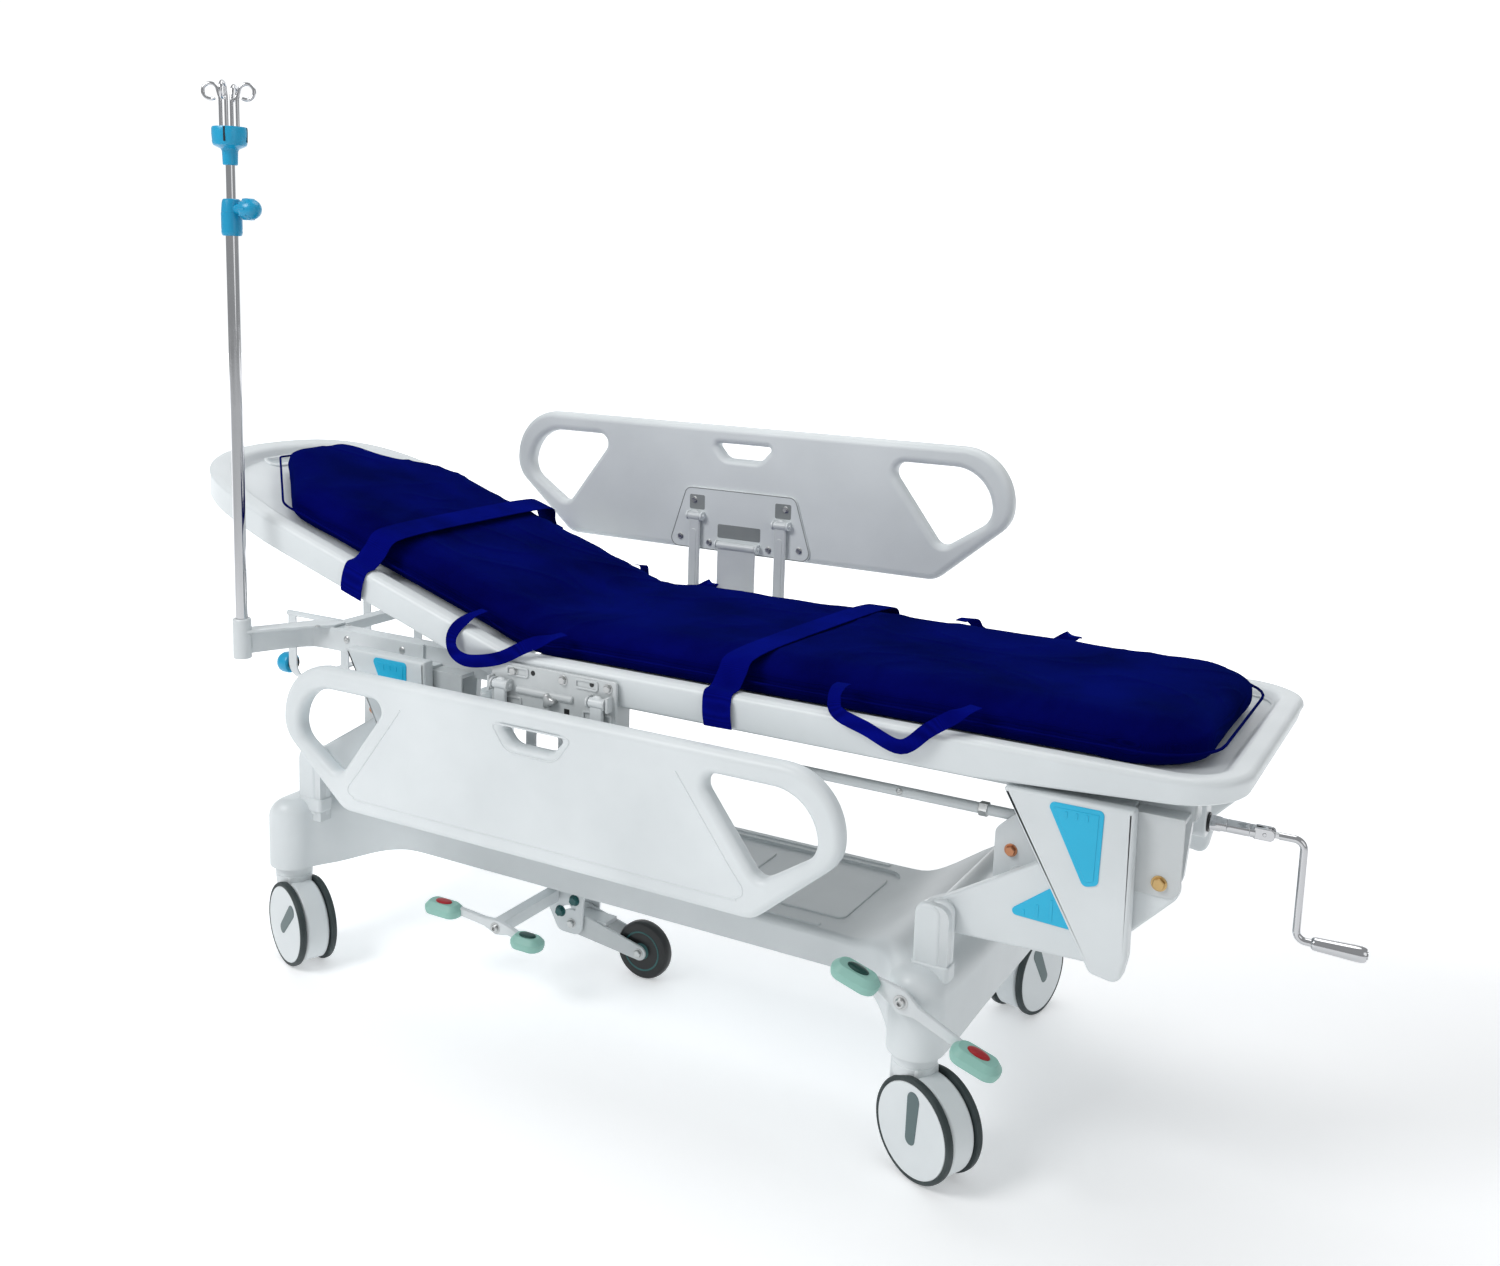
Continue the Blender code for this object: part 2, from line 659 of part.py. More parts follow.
def make_lift(root, steel):
    foot_x, head_x = lift_pivots()
    foot_yoke = make_lift_yoke("foot_lift_yoke", root, foot_x, steel)
    make_lift_yoke("head_lift_yoke", root, head_x, steel)
    z = ARM_PIVOT_Z + TIE_OFFSET[1]
    right, left = foot_x + TIE_OFFSET[0], head_x + TIE_OFFSET[0]
    tie = body("tie_rod", foot_yoke, (right, 0, z))
    shapes = [cylinder((left, -0.1781, z), (right, -0.1781, z), 0.008, 14)]
    bores = []
    for x in (left, right):
        shapes.append(cylinder((x, -0.1869, z), (x, -0.1693, z), 0.0122, 16))
        bores.append(cylinder((x, -0.2016, z), (x, -0.1596, z), 0.0055, 12))
    piece("tie_rod", tie, joined(shapes, bores), steel)
    frame_pivot = (foot_x + ARM_RUN, 0, ARM_PIVOT_Z + ARM_RISE)
    return body("upper_frame", foot_yoke, frame_pivot)


# ---------------------------------------------------------------- upper frame and lift panels
def upper_frame_shape():
    """Two side bars, four crossbars and the lugs on the lift arms' pins."""
    shapes = []
    bores = []
    for side in (-1, 1):
        ends = (FRAME_HEAD_X, FRAME_FOOT_X)
        shapes.append(side_box(side, *ends, FRAME_INNER_Y, FRAME_OUTER_Y, FRAME_BOTTOM, FRAME_TOP))
    reach = FRAME_INNER_Y + 0.0017
    for x in (FRAME_HEAD_X + 0.0134, HINGE_X + 0.0336, 0.3696, FRAME_FOOT_X - 0.0134):
        low, high = (x - 0.0126, -reach, FRAME_BOTTOM + 0.0185), (x + 0.0126, reach, FRAME_TOP - 0.005)
        shapes.append(box(low, high))
    for px, bore in zip(lift_pivots(), (0.0072, 0.0092)):
        tip_x, tip_z = px + ARM_RUN, ARM_PIVOT_Z + ARM_RISE
        for side in (-1, 1):
            low, high = side_span(side, 0.1999, 0.2117)
            lug = capsule((tip_x, FRAME_BOTTOM + 0.0101), (tip_x, tip_z), 0.0286, 0.0218)
            shapes.append(prism(lug, "Y", low, high))
            start, end = (tip_x, low - 0.0084, tip_z), (tip_x, high + 0.0084, tip_z)
            bores.append(cylinder(start, end, bore, 16))
    return joined(shapes, bores)


def lift_panel_shape(side, shift, top):
    """The tapering cover over one end of a lift arm, with a flange on the upper frame."""
    corners = [
        (0.7014, top, 0.0034),
        (0.8333, 0.3461, 0.0134),
        (0.8736, 0.3394, 0.0151),
        (0.8812, 0.378, 0.0168),
        (0.8778, top, 0.0034),
    ]
    outline = rounded([(x + shift, z, radius) for x, z, radius in corners], 3)
    low, high = side_span(side, PANEL_INNER_Y, PANEL_OUTER_Y)
    y_in, y_out = FRAME_OUTER_Y + GAP, PANEL_INNER_Y + 0.0017
    flange = side_box(side, 0.714 + shift, 0.8694 + shift, y_in, y_out, 0.5628, 0.5758)
    return union(prism(outline, "Y", low, high), flange)


def make_upper_frame(frame, steel, plastic):
    piece("upper_frame", frame, upper_frame_shape(), steel)
    for end, shift in (("foot", 0.0), ("head", HEAD_SHIFT)):
        for side, name in ((-1, "near"), (1, "far")):
            panel = lift_panel_shape(side, shift, PANEL_TOP[end])
            piece(f"{end}_lift_panel_{name}", frame, panel, plastic)


# ---------------------------------------------------------------- deck, mattress and straps
def leg_deck_outline(inset):
    """The foot section in plan: straight sides and two round corners at the foot end."""
    x0 = HINGE_X + 0.0084
    x1, half = DECK_FOOT_X - inset, DECK_HALF_WIDTH - inset
    corner = FOOT_CORNER - inset
    return rounded([(x0, half, 0), (x1, half, corner), (x1, -half, corner), (x0, -half, 0)], 8)


def backrest_width(s, half):
    """Half the backrest's width at s along it: straight, then rounded in towards the head end."""
    if s < NARROWING_START:
        return half
    t = (s - NARROWING_START) / (BACKREST_LENGTH - NARROWING_START)
    return half * (1 - 0.12 * t) * max(0.0, 1 - t**4.2) ** 0.42


def backrest_outline(inset, start):
    half = DECK_HALF_WIDTH - inset
    length = BACKREST_LENGTH - inset
    steps = 12
    upper = [(-start, half)]
    for k in range(steps + 1):
        s = NARROWING_START + (length - NARROWING_START) * math.sin(0.5 * math.pi * k / steps)
        upper.append((-s, backrest_width(s * BACKREST_LENGTH / length, half)))
    return mirrored_outline(upper)


def past_hinge(outline):
    """Moves the hinge end of a leg section's outline outwards, so that a cutter of it goes through."""
    return [(x - 0.0168 if x < 0 else x, y) for x, y in outline]


def leg_deck_shape():
    """A rim round a platform: open on top for the mattress and hollow underneath."""
    rim = prism(leg_deck_outline(0), "Z", RIM_BOTTOM, RIM_TOP)
    well = prism(past_hinge(leg_deck_outline(RIM_WIDTH)), "Z", PLATFORM_TOP, RIM_TOP + 0.0168)
    inner = past_hinge(leg_deck_outline(RIM_WIDTH + 0.0017))
    under = prism(inner, "Z", RIM_BOTTOM - 0.0168, PLATFORM_BOTTOM)
    end, half = DECK_FOOT_X + 0.0084, DECK_HALF_WIDTH + 0.0084
    rise = prism([(0.672, RIM_BOTTOM), (end, RIM_BOTTOM), (end, FOOT_RIM_BOTTOM)], "Y", -half, half)
    return cut(rim, well, under, rise)


def backrest_deck_shape():
    """The head section, with the hinge as its origin."""
    low, high = RIM_BOTTOM - HINGE_Z, RIM_TOP - HINGE_Z
    start = 0.0101
    past = start - 0.0168
    rim = prism(backrest_outline(0, start), "Z", low, high)
    well = prism(backrest_outline(RIM_WIDTH, past), "Z", PLATFORM_TOP - HINGE_Z, high + 0.0168)
    inner = backrest_outline(RIM_WIDTH + 0.0017, past)
    return cut(rim, well, prism(inner, "Z", low - 0.0168, PLATFORM_BOTTOM - HINGE_Z))


def make_deck(frame, plastic):
    piece("leg_deck", frame, leg_deck_shape(), plastic)
    back = body("backrest", frame, (HINGE_X, 0, HINGE_Z), (0, BACKREST_REST_DEG, 0))
    piece("backrest_deck", back, backrest_deck_shape(), plastic, local=True)
    return back


def mattress_leg_outline():
    x0, x1 = HINGE_X + 0.0168, DECK_FOOT_X - RIM_WIDTH - 0.0067
    half, corner, foot_corner = MATTRESS_HALF_WIDTH, 0.0084, 0.1008
    corners = [(x0, half, corner), (x1, half, foot_corner), (x1, -half, foot_corner), (x0, -half, corner)]
    return rounded(corners, 6)


def mattress_back_outline():
    """The head section of the mattress in plan, with its two head corners cut off."""
    half, corner = MATTRESS_HALF_WIDTH, 0.0084
    start, chamfer_start = -0.0756, MATTRESS_CHAMFER - MATTRESS_BACK_LENGTH
    near = [(start, -half), (chamfer_start, -half), (-MATTRESS_BACK_LENGTH, MATTRESS_CHAMFER - half)]
    far = [(x, -y) for x, y in reversed(near)]
    return rounded([(x, y, corner) for x, y in near + far], 2)


def make_mattress(frame, back, fabric, webbing):
    low = PLATFORM_TOP + GAP
    top = low + MATTRESS_THICKNESS
    piece("mattress_leg", frame, prism(mattress_leg_outline(), "Z", low, top), fabric)
    leg = strap_outline(RIM_BOTTOM, RIM_TOP, top)
    piece("leg_strap", frame, prism(leg, "X", 0.2394, 0.2856), webbing)

    low -= HINGE_Z
    top = low + BACK_THICKNESS
    block = prism(mattress_back_outline(), "Z", low, top)
    piece("mattress_back", back, block, fabric, local=True)
    chest = strap_outline(RIM_BOTTOM - HINGE_Z, RIM_TOP - HINGE_Z, top)
    piece("chest_strap", back, prism(chest, "X", -0.3696, -0.3234), webbing, local=True)


def strap_outline(rim_bottom, rim_top, mattress_top):
    """The section of a strap that lies over the mattress and wraps both sides of the rim."""
    gap, thick = 0.0007, 0.0021
    edge = DECK_HALF_WIDTH + gap
    inner = [(edge, rim_bottom + 0.0034), (edge, rim_top + gap), (0.252, rim_top + gap)]
    inner.append((MATTRESS_HALF_WIDTH + 0.0017, mattress_top + gap))
    outer = [(y + thick, z + (thick if i else 0)) for i, (y, z) in enumerate(inner)]
    right = inner + [(-y, z) for y, z in reversed(inner)]
    left = [(-y, z) for y, z in outer] + [(y, z) for y, z in reversed(outer)]
    return right + left


# ---------------------------------------------------------------- side rails
def rail_outline():
    """The rail seen from the side, from its lowest edge, with round shoulders and a narrower bottom."""
    half, height = RAIL_LENGTH / 2, RAIL_HEIGHT
    right = [(half - 0.1386, 0, 0.042), (half - 0.0017, height - 0.126, 0.0588)]
    right.append((half - 0.0067, height, 0.0966))
    left = [(-a, b, r) for a, b, r in reversed(right)]
    return [(RAIL_CENTRE_X + a, b, r) for a, b, r in right + left]


def rail_holes():
    """A hand hole at each end and a finger slot near the top."""
    grip = [
        (0.2898, 0.2058, 0.0185),
        (0.4015, 0.0588, 0.0202),
        (0.4939, 0.1193, 0.0378),
        (0.4805, 0.2058, 0.0714),
    ]
    slot_half = [(0.0378, 0.1814, 0.0252), (0.0622, 0.2092, 0.005)]
    slot = [(-a, b, r) for a, b, r in reversed(slot_half)] + slot_half
    mirrored = [(-a, b, r) for a, b, r in reversed(grip)]
    return [[(RAIL_CENTRE_X + a, b, r) for a, b, r in hole] for hole in (grip, mirrored, slot)]


def at_height(corners, bottom, steps):
    return [(a, b + bottom) for a, b in rounded(corners, steps)]


def rail_arm_shape(x, y, z_pivot, z_hang):
    """A flat bar with a bored barrel at each end."""
    z0, z1 = sorted((z_pivot, z_hang))
    shapes = [box((x - 0.0118, y - 0.0042, z0), (x + 0.0118, y + 0.0042, z1))]
    bores = []
    for z in (z_pivot, z_hang):
        shapes.append(cylinder((x - 0.013, y, z), (x + 0.013, y, z), 0.0077, 16))
        bores.append(cylinder((x - 0.0252, y, z), (x + 0.0252, y, z), 0.0036, 10))
    return joined(shapes, bores)


def rail_link_shape(y, z_pivot, z_hang):
    """The wider middle plate, with a window near its pivot on the frame."""
    x = RAIL_CENTRE_X
    z0, z1 = sorted((z_pivot, z_hang))
    shapes = [box((x - 0.0403, y - 0.0025, z0), (x + 0.0403, y + 0.0025, z1))]
    bores = []
    for z in (z_pivot, z_hang):
        shapes.append(cylinder((x - 0.0412, y, z), (x + 0.0412, y, z), 0.0076, 16))
        bores.append(cylinder((x - 0.0504, y, z), (x + 0.0504, y, z), 0.0036, 10))
    turn = math.copysign(1, z_hang - z_pivot)
    w0, w1 = sorted((z_pivot + turn * 0.0151, z_pivot + turn * 0.0924))
    bores.append(box((x - 0.0218, y - 0.0109, w0), (x + 0.0218, y + 0.0109, w1)))
    return joined(shapes, bores)


def ears_and_pin(x, half, pin_half, y_span, y, z, half_height):
    """Two ears with a pin between them, for one barrel."""
    shapes = []
    for ear in (x - half - EAR_THICKNESS, x + half):
        low, high = (ear, y_span[0], z - half_height), (ear + EAR_THICKNESS, y_span[1], z + half_height)
        shapes.append(box(low, high))
    shapes.append(cylinder((x - pin_half, y, z), (x + pin_half, y, z), 0.0034, 10))
    return shapes


def rail_arm_places():
    return (RAIL_CENTRE_X - RAIL_ARM_SPACING, RAIL_CENTRE_X + RAIL_ARM_SPACING)


def rail_plate_shape(side, bottom, z_hang, z_link):
    """The trapezoid on the back of the rail, with the ears for the arms and the link."""
    low, high = side_span(side, RAIL_INNER_Y - GAP - 0.0034, RAIL_INNER_Y - GAP)
    foot, top, corner = bottom + 0.0034, bottom + 0.1226, 0.0168
    corners = [(-0.1562, foot), (0.1562, foot), (0.1176, top), (-0.1176, top)]
    trapezoid = rounded([(RAIL_CENTRE_X + a, b, corner) for a, b in corners], 3)
    shapes = [prism(trapezoid, "Y", low, high)]
    y = side * RAIL_PIVOT_Y
    lug_span = side_span(side, RAIL_PIVOT_Y - 0.0076, RAIL_INNER_Y - 0.0025)
    for x in rail_arm_places():
        shapes += ears_and_pin(x, 0.0134, 0.0185, lug_span, y, z_hang, 0.0084)
    shapes += ears_and_pin(RAIL_CENTRE_X, 0.042, 0.047, lug_span, y, z_link, 0.0084)
    return union(*shapes)


def rail_bracket_shape(side, z_link):
    """The casting on the frame that carries the arms, the link and the release knob."""
    arms_x = rail_arm_places()
    x0, x1 = arms_x[0] - 0.0252, arms_x[1] + 0.0286
    low, high = side_span(side, FRAME_OUTER_Y + GAP, 0.2839)
    shapes = [box((x0 + 0.0168, low, 0.5225), (x1 - 0.0168, high, 0.5767))]
    low, high = side_span(side, 0.2827, 0.289)
    shapes.append(box((x0, low, 0.5225), (x1, high, 0.6224)))
    y = side * RAIL_PIVOT_Y
    ear_span = side_span(side, 0.2881, 0.307)
    for x in arms_x:
        shapes += ears_and_pin(x, 0.0134, 0.0185, ear_span, y, RAIL_PIVOT_Z, 0.0101)
    shapes += ears_and_pin(RAIL_CENTRE_X, 0.042, 0.047, ear_span, y, z_link, 0.0084)
    start, end = (RAIL_CENTRE_X, side * 0.252, KNOB_Z), (RAIL_CENTRE_X, side * 0.3024, KNOB_Z)
    return joined(shapes, [cylinder(start, end, 0.0047, 12)])


def make_rail(side, name, frame, plastic, steel, raised):
    arm_turn = 1 if raised else -1
    y = side * RAIL_PIVOT_Y
    hang = RAIL_PIVOT_Z + arm_turn * RAIL_ARM
    bottom = hang - RAIL_PIVOT_ABOVE_BOTTOM
    arms = body(name + "_rail_arms", frame, (RAIL_CENTRE_X, y, RAIL_PIVOT_Z))
    for end, x in zip(("head", "foot"), rail_arm_places()):
        piece(f"{name}_rail_arm_{end}", arms, rail_arm_shape(x, y, RAIL_PIVOT_Z, hang), steel)

    z_link = RAIL_PIVOT_Z - RAIL_LINK_DROP
    z_link_end = z_link + arm_turn * RAIL_ARM
    link = body(name + "_rail_link", frame, (RAIL_CENTRE_X, y, z_link))
    piece(name + "_rail_link", link, rail_link_shape(y, z_link, z_link_end), steel)

    panel = body(name + "_rail", arms, (RAIL_CENTRE_X, y, hang))
    low, high = side_span(side, RAIL_INNER_Y, RAIL_OUTER_Y)
    holes = [prism(at_height(hole, bottom, 6), "Y", low - 0.0084, high + 0.0084) for hole in rail_holes()]
    sheet = prism(at_height(rail_outline(), bottom, 8), "Y", low, high)
    piece(name + "_rail_panel", panel, cut(sheet, *holes), plastic)
    piece(name + "_rail_plate", panel, rail_plate_shape(side, bottom, hang, z_link_end), steel)
    piece(name + "_rail_bracket", frame, rail_bracket_shape(side, z_link), steel)

    knob = body(name + "_rail_knob", frame, (RAIL_CENTRE_X, side * 0.289, KNOB_Z))
    turned = [(0, 0.0042), (0.0339, 0.0042), (0.0339, 0.0084), (0.0386, 0.013), (0.0437, 0.013)]
    turned.append((0.0454, 0.0101))
    turned_knob = lathe(turned, (RAIL_CENTRE_X, side * 0.2554, KNOB_Z), (0, side, 0), 16)
    piece(name + "_rail_knob", knob, turned_knob, steel)


# ---------------------------------------------------------------- infusion pole
def pole_bracket_shape(top):
    """A gusset and a web from the frame's corner to the socket that holds the pole."""
    root_x, corner_x = FRAME_HEAD_X + 0.0462, FRAME_HEAD_X + 0.0126
    gusset = [
        (root_x, -0.1919, 0),
        (FRAME_HEAD_X, -0.1919, 0),
        (POLE_X - 0.0118, POLE_Y + 0.0101, 0),
        (POLE_X + 0.0101, POLE_Y - 0.0118, 0),
        (corner_x, -0.2604, 0.0336),
        (root_x, -0.2197, 0),
    ]
    web_x = FRAME_HEAD_X - GAP
    web = [(web_x, -0.2201), (web_x, -0.2134), (POLE_X, POLE_Y + 0.005), (POLE_X + 0.005, POLE_Y)]
    shapes = [
        prism(rounded(gusset, 3), "Z", FRAME_TOP + GAP, FRAME_TOP + 0.005),
        cylinder((POLE_X, POLE_Y, 0.5561), (POLE_X, POLE_Y, top), 0.016, 20),
        prism(web, "Z", 0.5678, FRAME_TOP + 0.0034),
    ]
    return joined(shapes, [cylinder((POLE_X, POLE_Y, 0.5611), (POLE_X, POLE_Y, top + 0.0168), 0.0108, 20)])


def pole_collar_shape(knob_z):
    """The blue collar on the lower tube, with a boss for the clamping knob."""
    profile = [(0, 0.0155), (0.0067, 0.0172), (0.0378, 0.0172), (0.0521, 0.016)]
    profile.append((COLLAR_HIGH - COLLAR_LOW, 0.0139))
    shapes = [lathe(profile, (POLE_X, POLE_Y, COLLAR_LOW), (0, 0, 1), 20)]
    shapes.append(cylinder((POLE_X, POLE_Y, knob_z), (POLE_X + 0.0244, POLE_Y, knob_z), 0.0092, 16))
    bores = [
        cylinder((POLE_X, POLE_Y, COLLAR_LOW - 0.0084), (POLE_X, POLE_Y, POLE_TOP + GAP), 0.0108, 20),
        cylinder((POLE_X, POLE_Y, POLE_TOP - 0.0084), (POLE_X, POLE_Y, COLLAR_HIGH + 0.0084), 0.0081, 16),
        cylinder((POLE_X + 0.0109, POLE_Y, knob_z), (POLE_X + 0.0336, POLE_Y, knob_z), 0.004, 12),
    ]
    return joined(shapes, bores)


def pole_cup_shape():
    """The cup that the hooks fold over, with a hub in it and a slot for each hook."""
    cup = [(0, 0.0122), (0.0252, 0.013), (0.0302, 0.0252), (0.0504, 0.029), (CUP_HIGH - CUP_LOW, 0.0281)]
    pocket = cylinder((POLE_X, POLE_Y, CUP_LOW - 0.0084), (POLE_X, POLE_Y, CUP_LOW + 0.0255), 0.008, 16)
    well = cylinder((POLE_X, POLE_Y, CUP_LOW + 0.0336), (POLE_X, POLE_Y, CUP_HIGH + 0.0168), 0.0223, 20)
    hub = cylinder((POLE_X, POLE_Y, CUP_LOW + 0.0294), (POLE_X, POLE_Y, CUP_HIGH - 0.0034), 0.0067, 16)
    half = HOOK_WIRE_RADIUS + 0.0008
    slots = []
    for heading in hook_headings():
        slot = box((0.0042, -half, 0.0353), (0.0378, half, 0.084))
        slot.transform(Matrix.Translation((POLE_X, POLE_Y, CUP_LOW)) @ euler_matrix((0, 0, heading)))
        slots.append(slot)
    shell = cut(lathe(cup, (POLE_X, POLE_Y, CUP_LOW), (0, 0, 1), 24), pocket, well)
    return cut(union(shell, hub), *slots)


def hook_headings():
    return [HOOK_FIRST_DEG + 90 * k for k in range(4)]


def hook_shape():
    """A round wire that stands up from its pivot and ends in an eye turned outwards, in its own XZ plane."""
    eye_x, eye_z = HOOK_EYE
    path = [(0, 0, -0.0034), (0, 0, eye_z - 0.0185), (0.0003, 0, eye_z - 0.0101)]
    for degrees in range(155, -126, -20):
        angle = math.radians(degrees)
        x, z = eye_x + HOOK_EYE_RADIUS * math.cos(angle), eye_z + HOOK_EYE_RADIUS * math.sin(angle)
        path.append((x, 0, z))
    return sweep(path, HOOK_WIRE_RADIUS, 8)


def make_pole(frame, painted, chrome, plastic):
    top = FRAME_TOP + 0.0252
    piece("pole_bracket", frame, pole_bracket_shape(top), painted)

    lower = body("pole_lower", frame, (POLE_X, POLE_Y, top))
    hollow = cylinder((POLE_X, POLE_Y, 0.6048), (POLE_X, POLE_Y, POLE_TOP + 0.0084), 0.0081, 16)
    tube = cut(cylinder((POLE_X, POLE_Y, 0.5628), (POLE_X, POLE_Y, POLE_TOP), 0.0105, 20), hollow)
    piece("pole_lower", lower, tube, chrome)
    knob_z = COLLAR_HIGH - 0.0168
    piece("pole_collar", lower, pole_collar_shape(knob_z), plastic)
    knob = body("pole_knob", lower, (POLE_X + 0.0244, POLE_Y, knob_z))
    turned = [(0.0134, 0.0038), (0.0288, 0.0038), (0.0288, 0.0134), (0.0326, 0.0168), (0.0443, 0.0176)]
    turned += [(0.0554, 0.0143), (0.0622, 0.0059)]
    piece("pole_knob", knob, lathe(turned, (POLE_X, POLE_Y, knob_z), (1, 0, 0), 20), plastic)

    upper = body("pole_upper", lower, (POLE_X, POLE_Y, COLLAR_HIGH))
    rod = cylinder((POLE_X, POLE_Y, top + 0.0084), (POLE_X, POLE_Y, CUP_LOW + 0.0252), 0.0077, 16)
    piece("pole_upper", upper, rod, chrome)
    piece("pole_cup", upper, pole_cup_shape(), plastic)
    for k, heading in enumerate(hook_headings()):
        turn = Matrix.Translation((POLE_X, POLE_Y, HOOK_PIVOT_Z)) @ euler_matrix((0, 0, heading))
        hook = body(f"pole_hook_{k + 1}", upper, turn @ Vector((HOOK_OFFSET, 0, 0)), (0, 0, heading))
        piece(f"pole_hook_{k + 1}", hook, hook_shape(), chrome, local=True)


# ---------------------------------------------------------------- crank
def crank_arm_shape():
    """An eye on the fold pin, a neck and a rod that bends down, then outwards."""
    x, y, z = CRANK_FOLD_X, CRANK_Y, CRANK_Z
    eye = cylinder((x, y - 0.0032, z), (x, y + 0.0032, z), 0.008, 16)
    neck = box((x, y - 0.0032, z - 0.0038), (x + 0.0212, y + 0.0032, z + 0.0038))
    bend_x, low_z, bend = 1.0618, CRANK_Z - CRANK_THROW, CRANK_BEND
    quarter = [math.pi / 8 * k for k in range(5)]
    path = [(x + 0.0176, z)]
    path += [(bend_x - bend + bend * math.sin(a), z - bend + bend * math.cos(a)) for a in quarter]
    path += [(bend_x + bend - bend * math.cos(a), low_z + bend - bend * math.sin(a)) for a in quarter]
    path += [(CRANK_ROD_END, low_z)]
    rod = sweep([(a, y, b) for a, b in path], 0.0052, 12)
    return joined([eye, neck, rod], [cylinder((x, y - 0.0168, z), (x, y + 0.0168, z), 0.0029, 10)])


def crank_sleeve_shape(x1):
    """The turned sleeve on the screw's end, forked for the crank's fold pin."""
    turned = [(0.8568, 0.0122), (0.8786, 0.0122), (0.8786, 0.0067), (x1 + GAP, 0.0067), (x1 + GAP, 0.0105)]
    turned += [(0.9534, 0.0105), (0.9559, 0.0092), (CRANK_FOLD_X + 0.0126, 0.0092)]
    sleeve = lathe(turned, (0, CRANK_Y, CRANK_Z), (1, 0, 0), 20)
    low = (CRANK_FOLD_X - 0.0118, CRANK_Y - 0.0035, CRANK_Z - 0.0168)
    high = (CRANK_FOLD_X + 0.0252, CRANK_Y + 0.0035, CRANK_Z + 0.0168)
    start, end = (CRANK_FOLD_X, CRANK_Y - 0.0084, CRANK_Z), (CRANK_FOLD_X, CRANK_Y + 0.0084, CRANK_Z)
    return union(cut(sleeve, box(low, high)), cylinder(start, end, 0.0025, 10))


def make_crank(frame, painted, chrome):
    x0, x1 = 0.9005, 0.937
    y0, y1, low, high = CRANK_Y - 0.0168, CRANK_Y + 0.0168, 0.5023, 0.5674
    block = rounded([(y0, low, 0.0101), (y1, low, 0.0101), (y1, high, 0), (y0, high, 0)])
    bore = cylinder((x0 - 0.0084, CRANK_Y, CRANK_Z), (x1 + 0.0084, CRANK_Y, CRANK_Z), 0.0071, 16)
    piece("crank_bearing", frame, cut(prism(block, "X", x0, x1), bore), painted)
    spin = body("crank_sleeve", frame, (x1, CRANK_Y, CRANK_Z))
    piece("crank_sleeve", spin, crank_sleeve_shape(x1), chrome)
    fold = body("crank_arm", spin, (CRANK_FOLD_X, CRANK_Y, CRANK_Z))
    piece("crank_arm", fold, crank_arm_shape(), chrome)

    low_z = CRANK_Z - CRANK_THROW
    grip = body("crank_grip", fold, (1.0794, CRANK_Y, low_z))
    turned = [(1.0819, 0.0071), (1.0844, 0.0092), (1.1357, 0.0113), (1.1474, 0.0105), (1.1512, 0.008)]
    bore = cylinder((1.0668, CRANK_Y, low_z), (1.1676, CRANK_Y, low_z), 0.0055, 12)
    piece("crank_grip", grip, cut(lathe(turned, (0, CRANK_Y, low_z), (1, 0, 0), 20), bore), chrome)


# ---------------------------------------------------------------- cylinder cage under the head end
def hoop(x, half, bottom, top):
    """A flat strap bent into a U across the trolley."""
    thick, radius = 0.0034, 0.042
    side, low, bend = half - thick, bottom + thick, radius - thick
    outer = rounded([(-half, top, 0), (-half, bottom, radius), (half, bottom, radius), (half, top, 0)], 6)
    inner = rounded([(side, top, 0), (side, low, bend), (-side, low, bend), (-side, top, 0)], 6)
    return prism(outer + inner, "X", x - 0.0101, x + 0.0101)


def make_cage(frame, painted, plastic):
    top = FRAME_BOTTOM + 0.0168
    rod_z = top - 0.0034
    shapes = []
    for y in (-0.1008, 0.1008):
        shapes.append(cylinder((FRAME_HEAD_X - 0.0003, y, rod_z), (-0.7896, y, rod_z), 0.0055, 10))
    for x in (-0.777, -0.6426):
        shapes.append(hoop(x, 0.1042, 0.4368, top))
    shapes.append(cylinder((-0.7829, 0.0, 0.4389), (-0.6367, 0.0, 0.4389), 0.0046, 10))
    piece("cylinder_cage", frame, union(*shapes), painted)
    turned = [(0, 0.0084), (0.005, 0.0084), (0.005, 0.0176), (0.0101, 0.0202), (0.0252, 0.0202)]
    turned += [(0.0353, 0.0134), (0.0386, 0.005)]
    knob = lathe(turned, (-0.7874, -0.0882, 0.4704), (-1, 0, 0), 20)
    piece("cage_knob", frame, knob, plastic)


def main():
    clear_scene()
    plastic = material("moulded_plastic", (0.80, 0.83, 0.84), 0.42)
    painted = material("painted_steel", (0.78, 0.80, 0.81), 0.38)
    chrome = material("chrome", (0.75, 0.76, 0.77), 0.12, 1.0)
    accent = material("accent_plastic", (0.05, 0.40, 0.62), 0.4)
    tyre = material("tyre_rubber", (0.05, 0.07, 0.07), 0.7)
    fabric = material("coated_fabric", (0.01, 0.01, 0.20), 0.6)
    webbing = material("strap_webbing", (0.01, 0.02, 0.28), 0.75)

    root = body("base")
    make_base(root, plastic, painted)
    make_castors(root, plastic, tyre)
    make_fifth_wheel(root, painted, tyre)
    make_pedals(root, painted)
    frame = make_lift(root, painted)
    make_upper_frame(frame, painted, plastic)
    back = make_deck(frame, plastic)
    make_mattress(frame, back, fabric, webbing)
    make_rail(-1, "near", frame, plastic, painted, raised=False)
    make_rail(1, "far", frame, plastic, painted, raised=True)
    make_pole(frame, painted, chrome, accent)
    make_crank(frame, painted, chrome)
    make_cage(frame, painted, accent)


main()
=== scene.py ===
"""Stretcher trolley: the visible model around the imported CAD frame. Metres, +Z up, head end at -X."""

import json
import math
import random

import bmesh
import bpy
from mathutils import Matrix, Vector, noise
from mathutils.geometry import tessellate_polygon

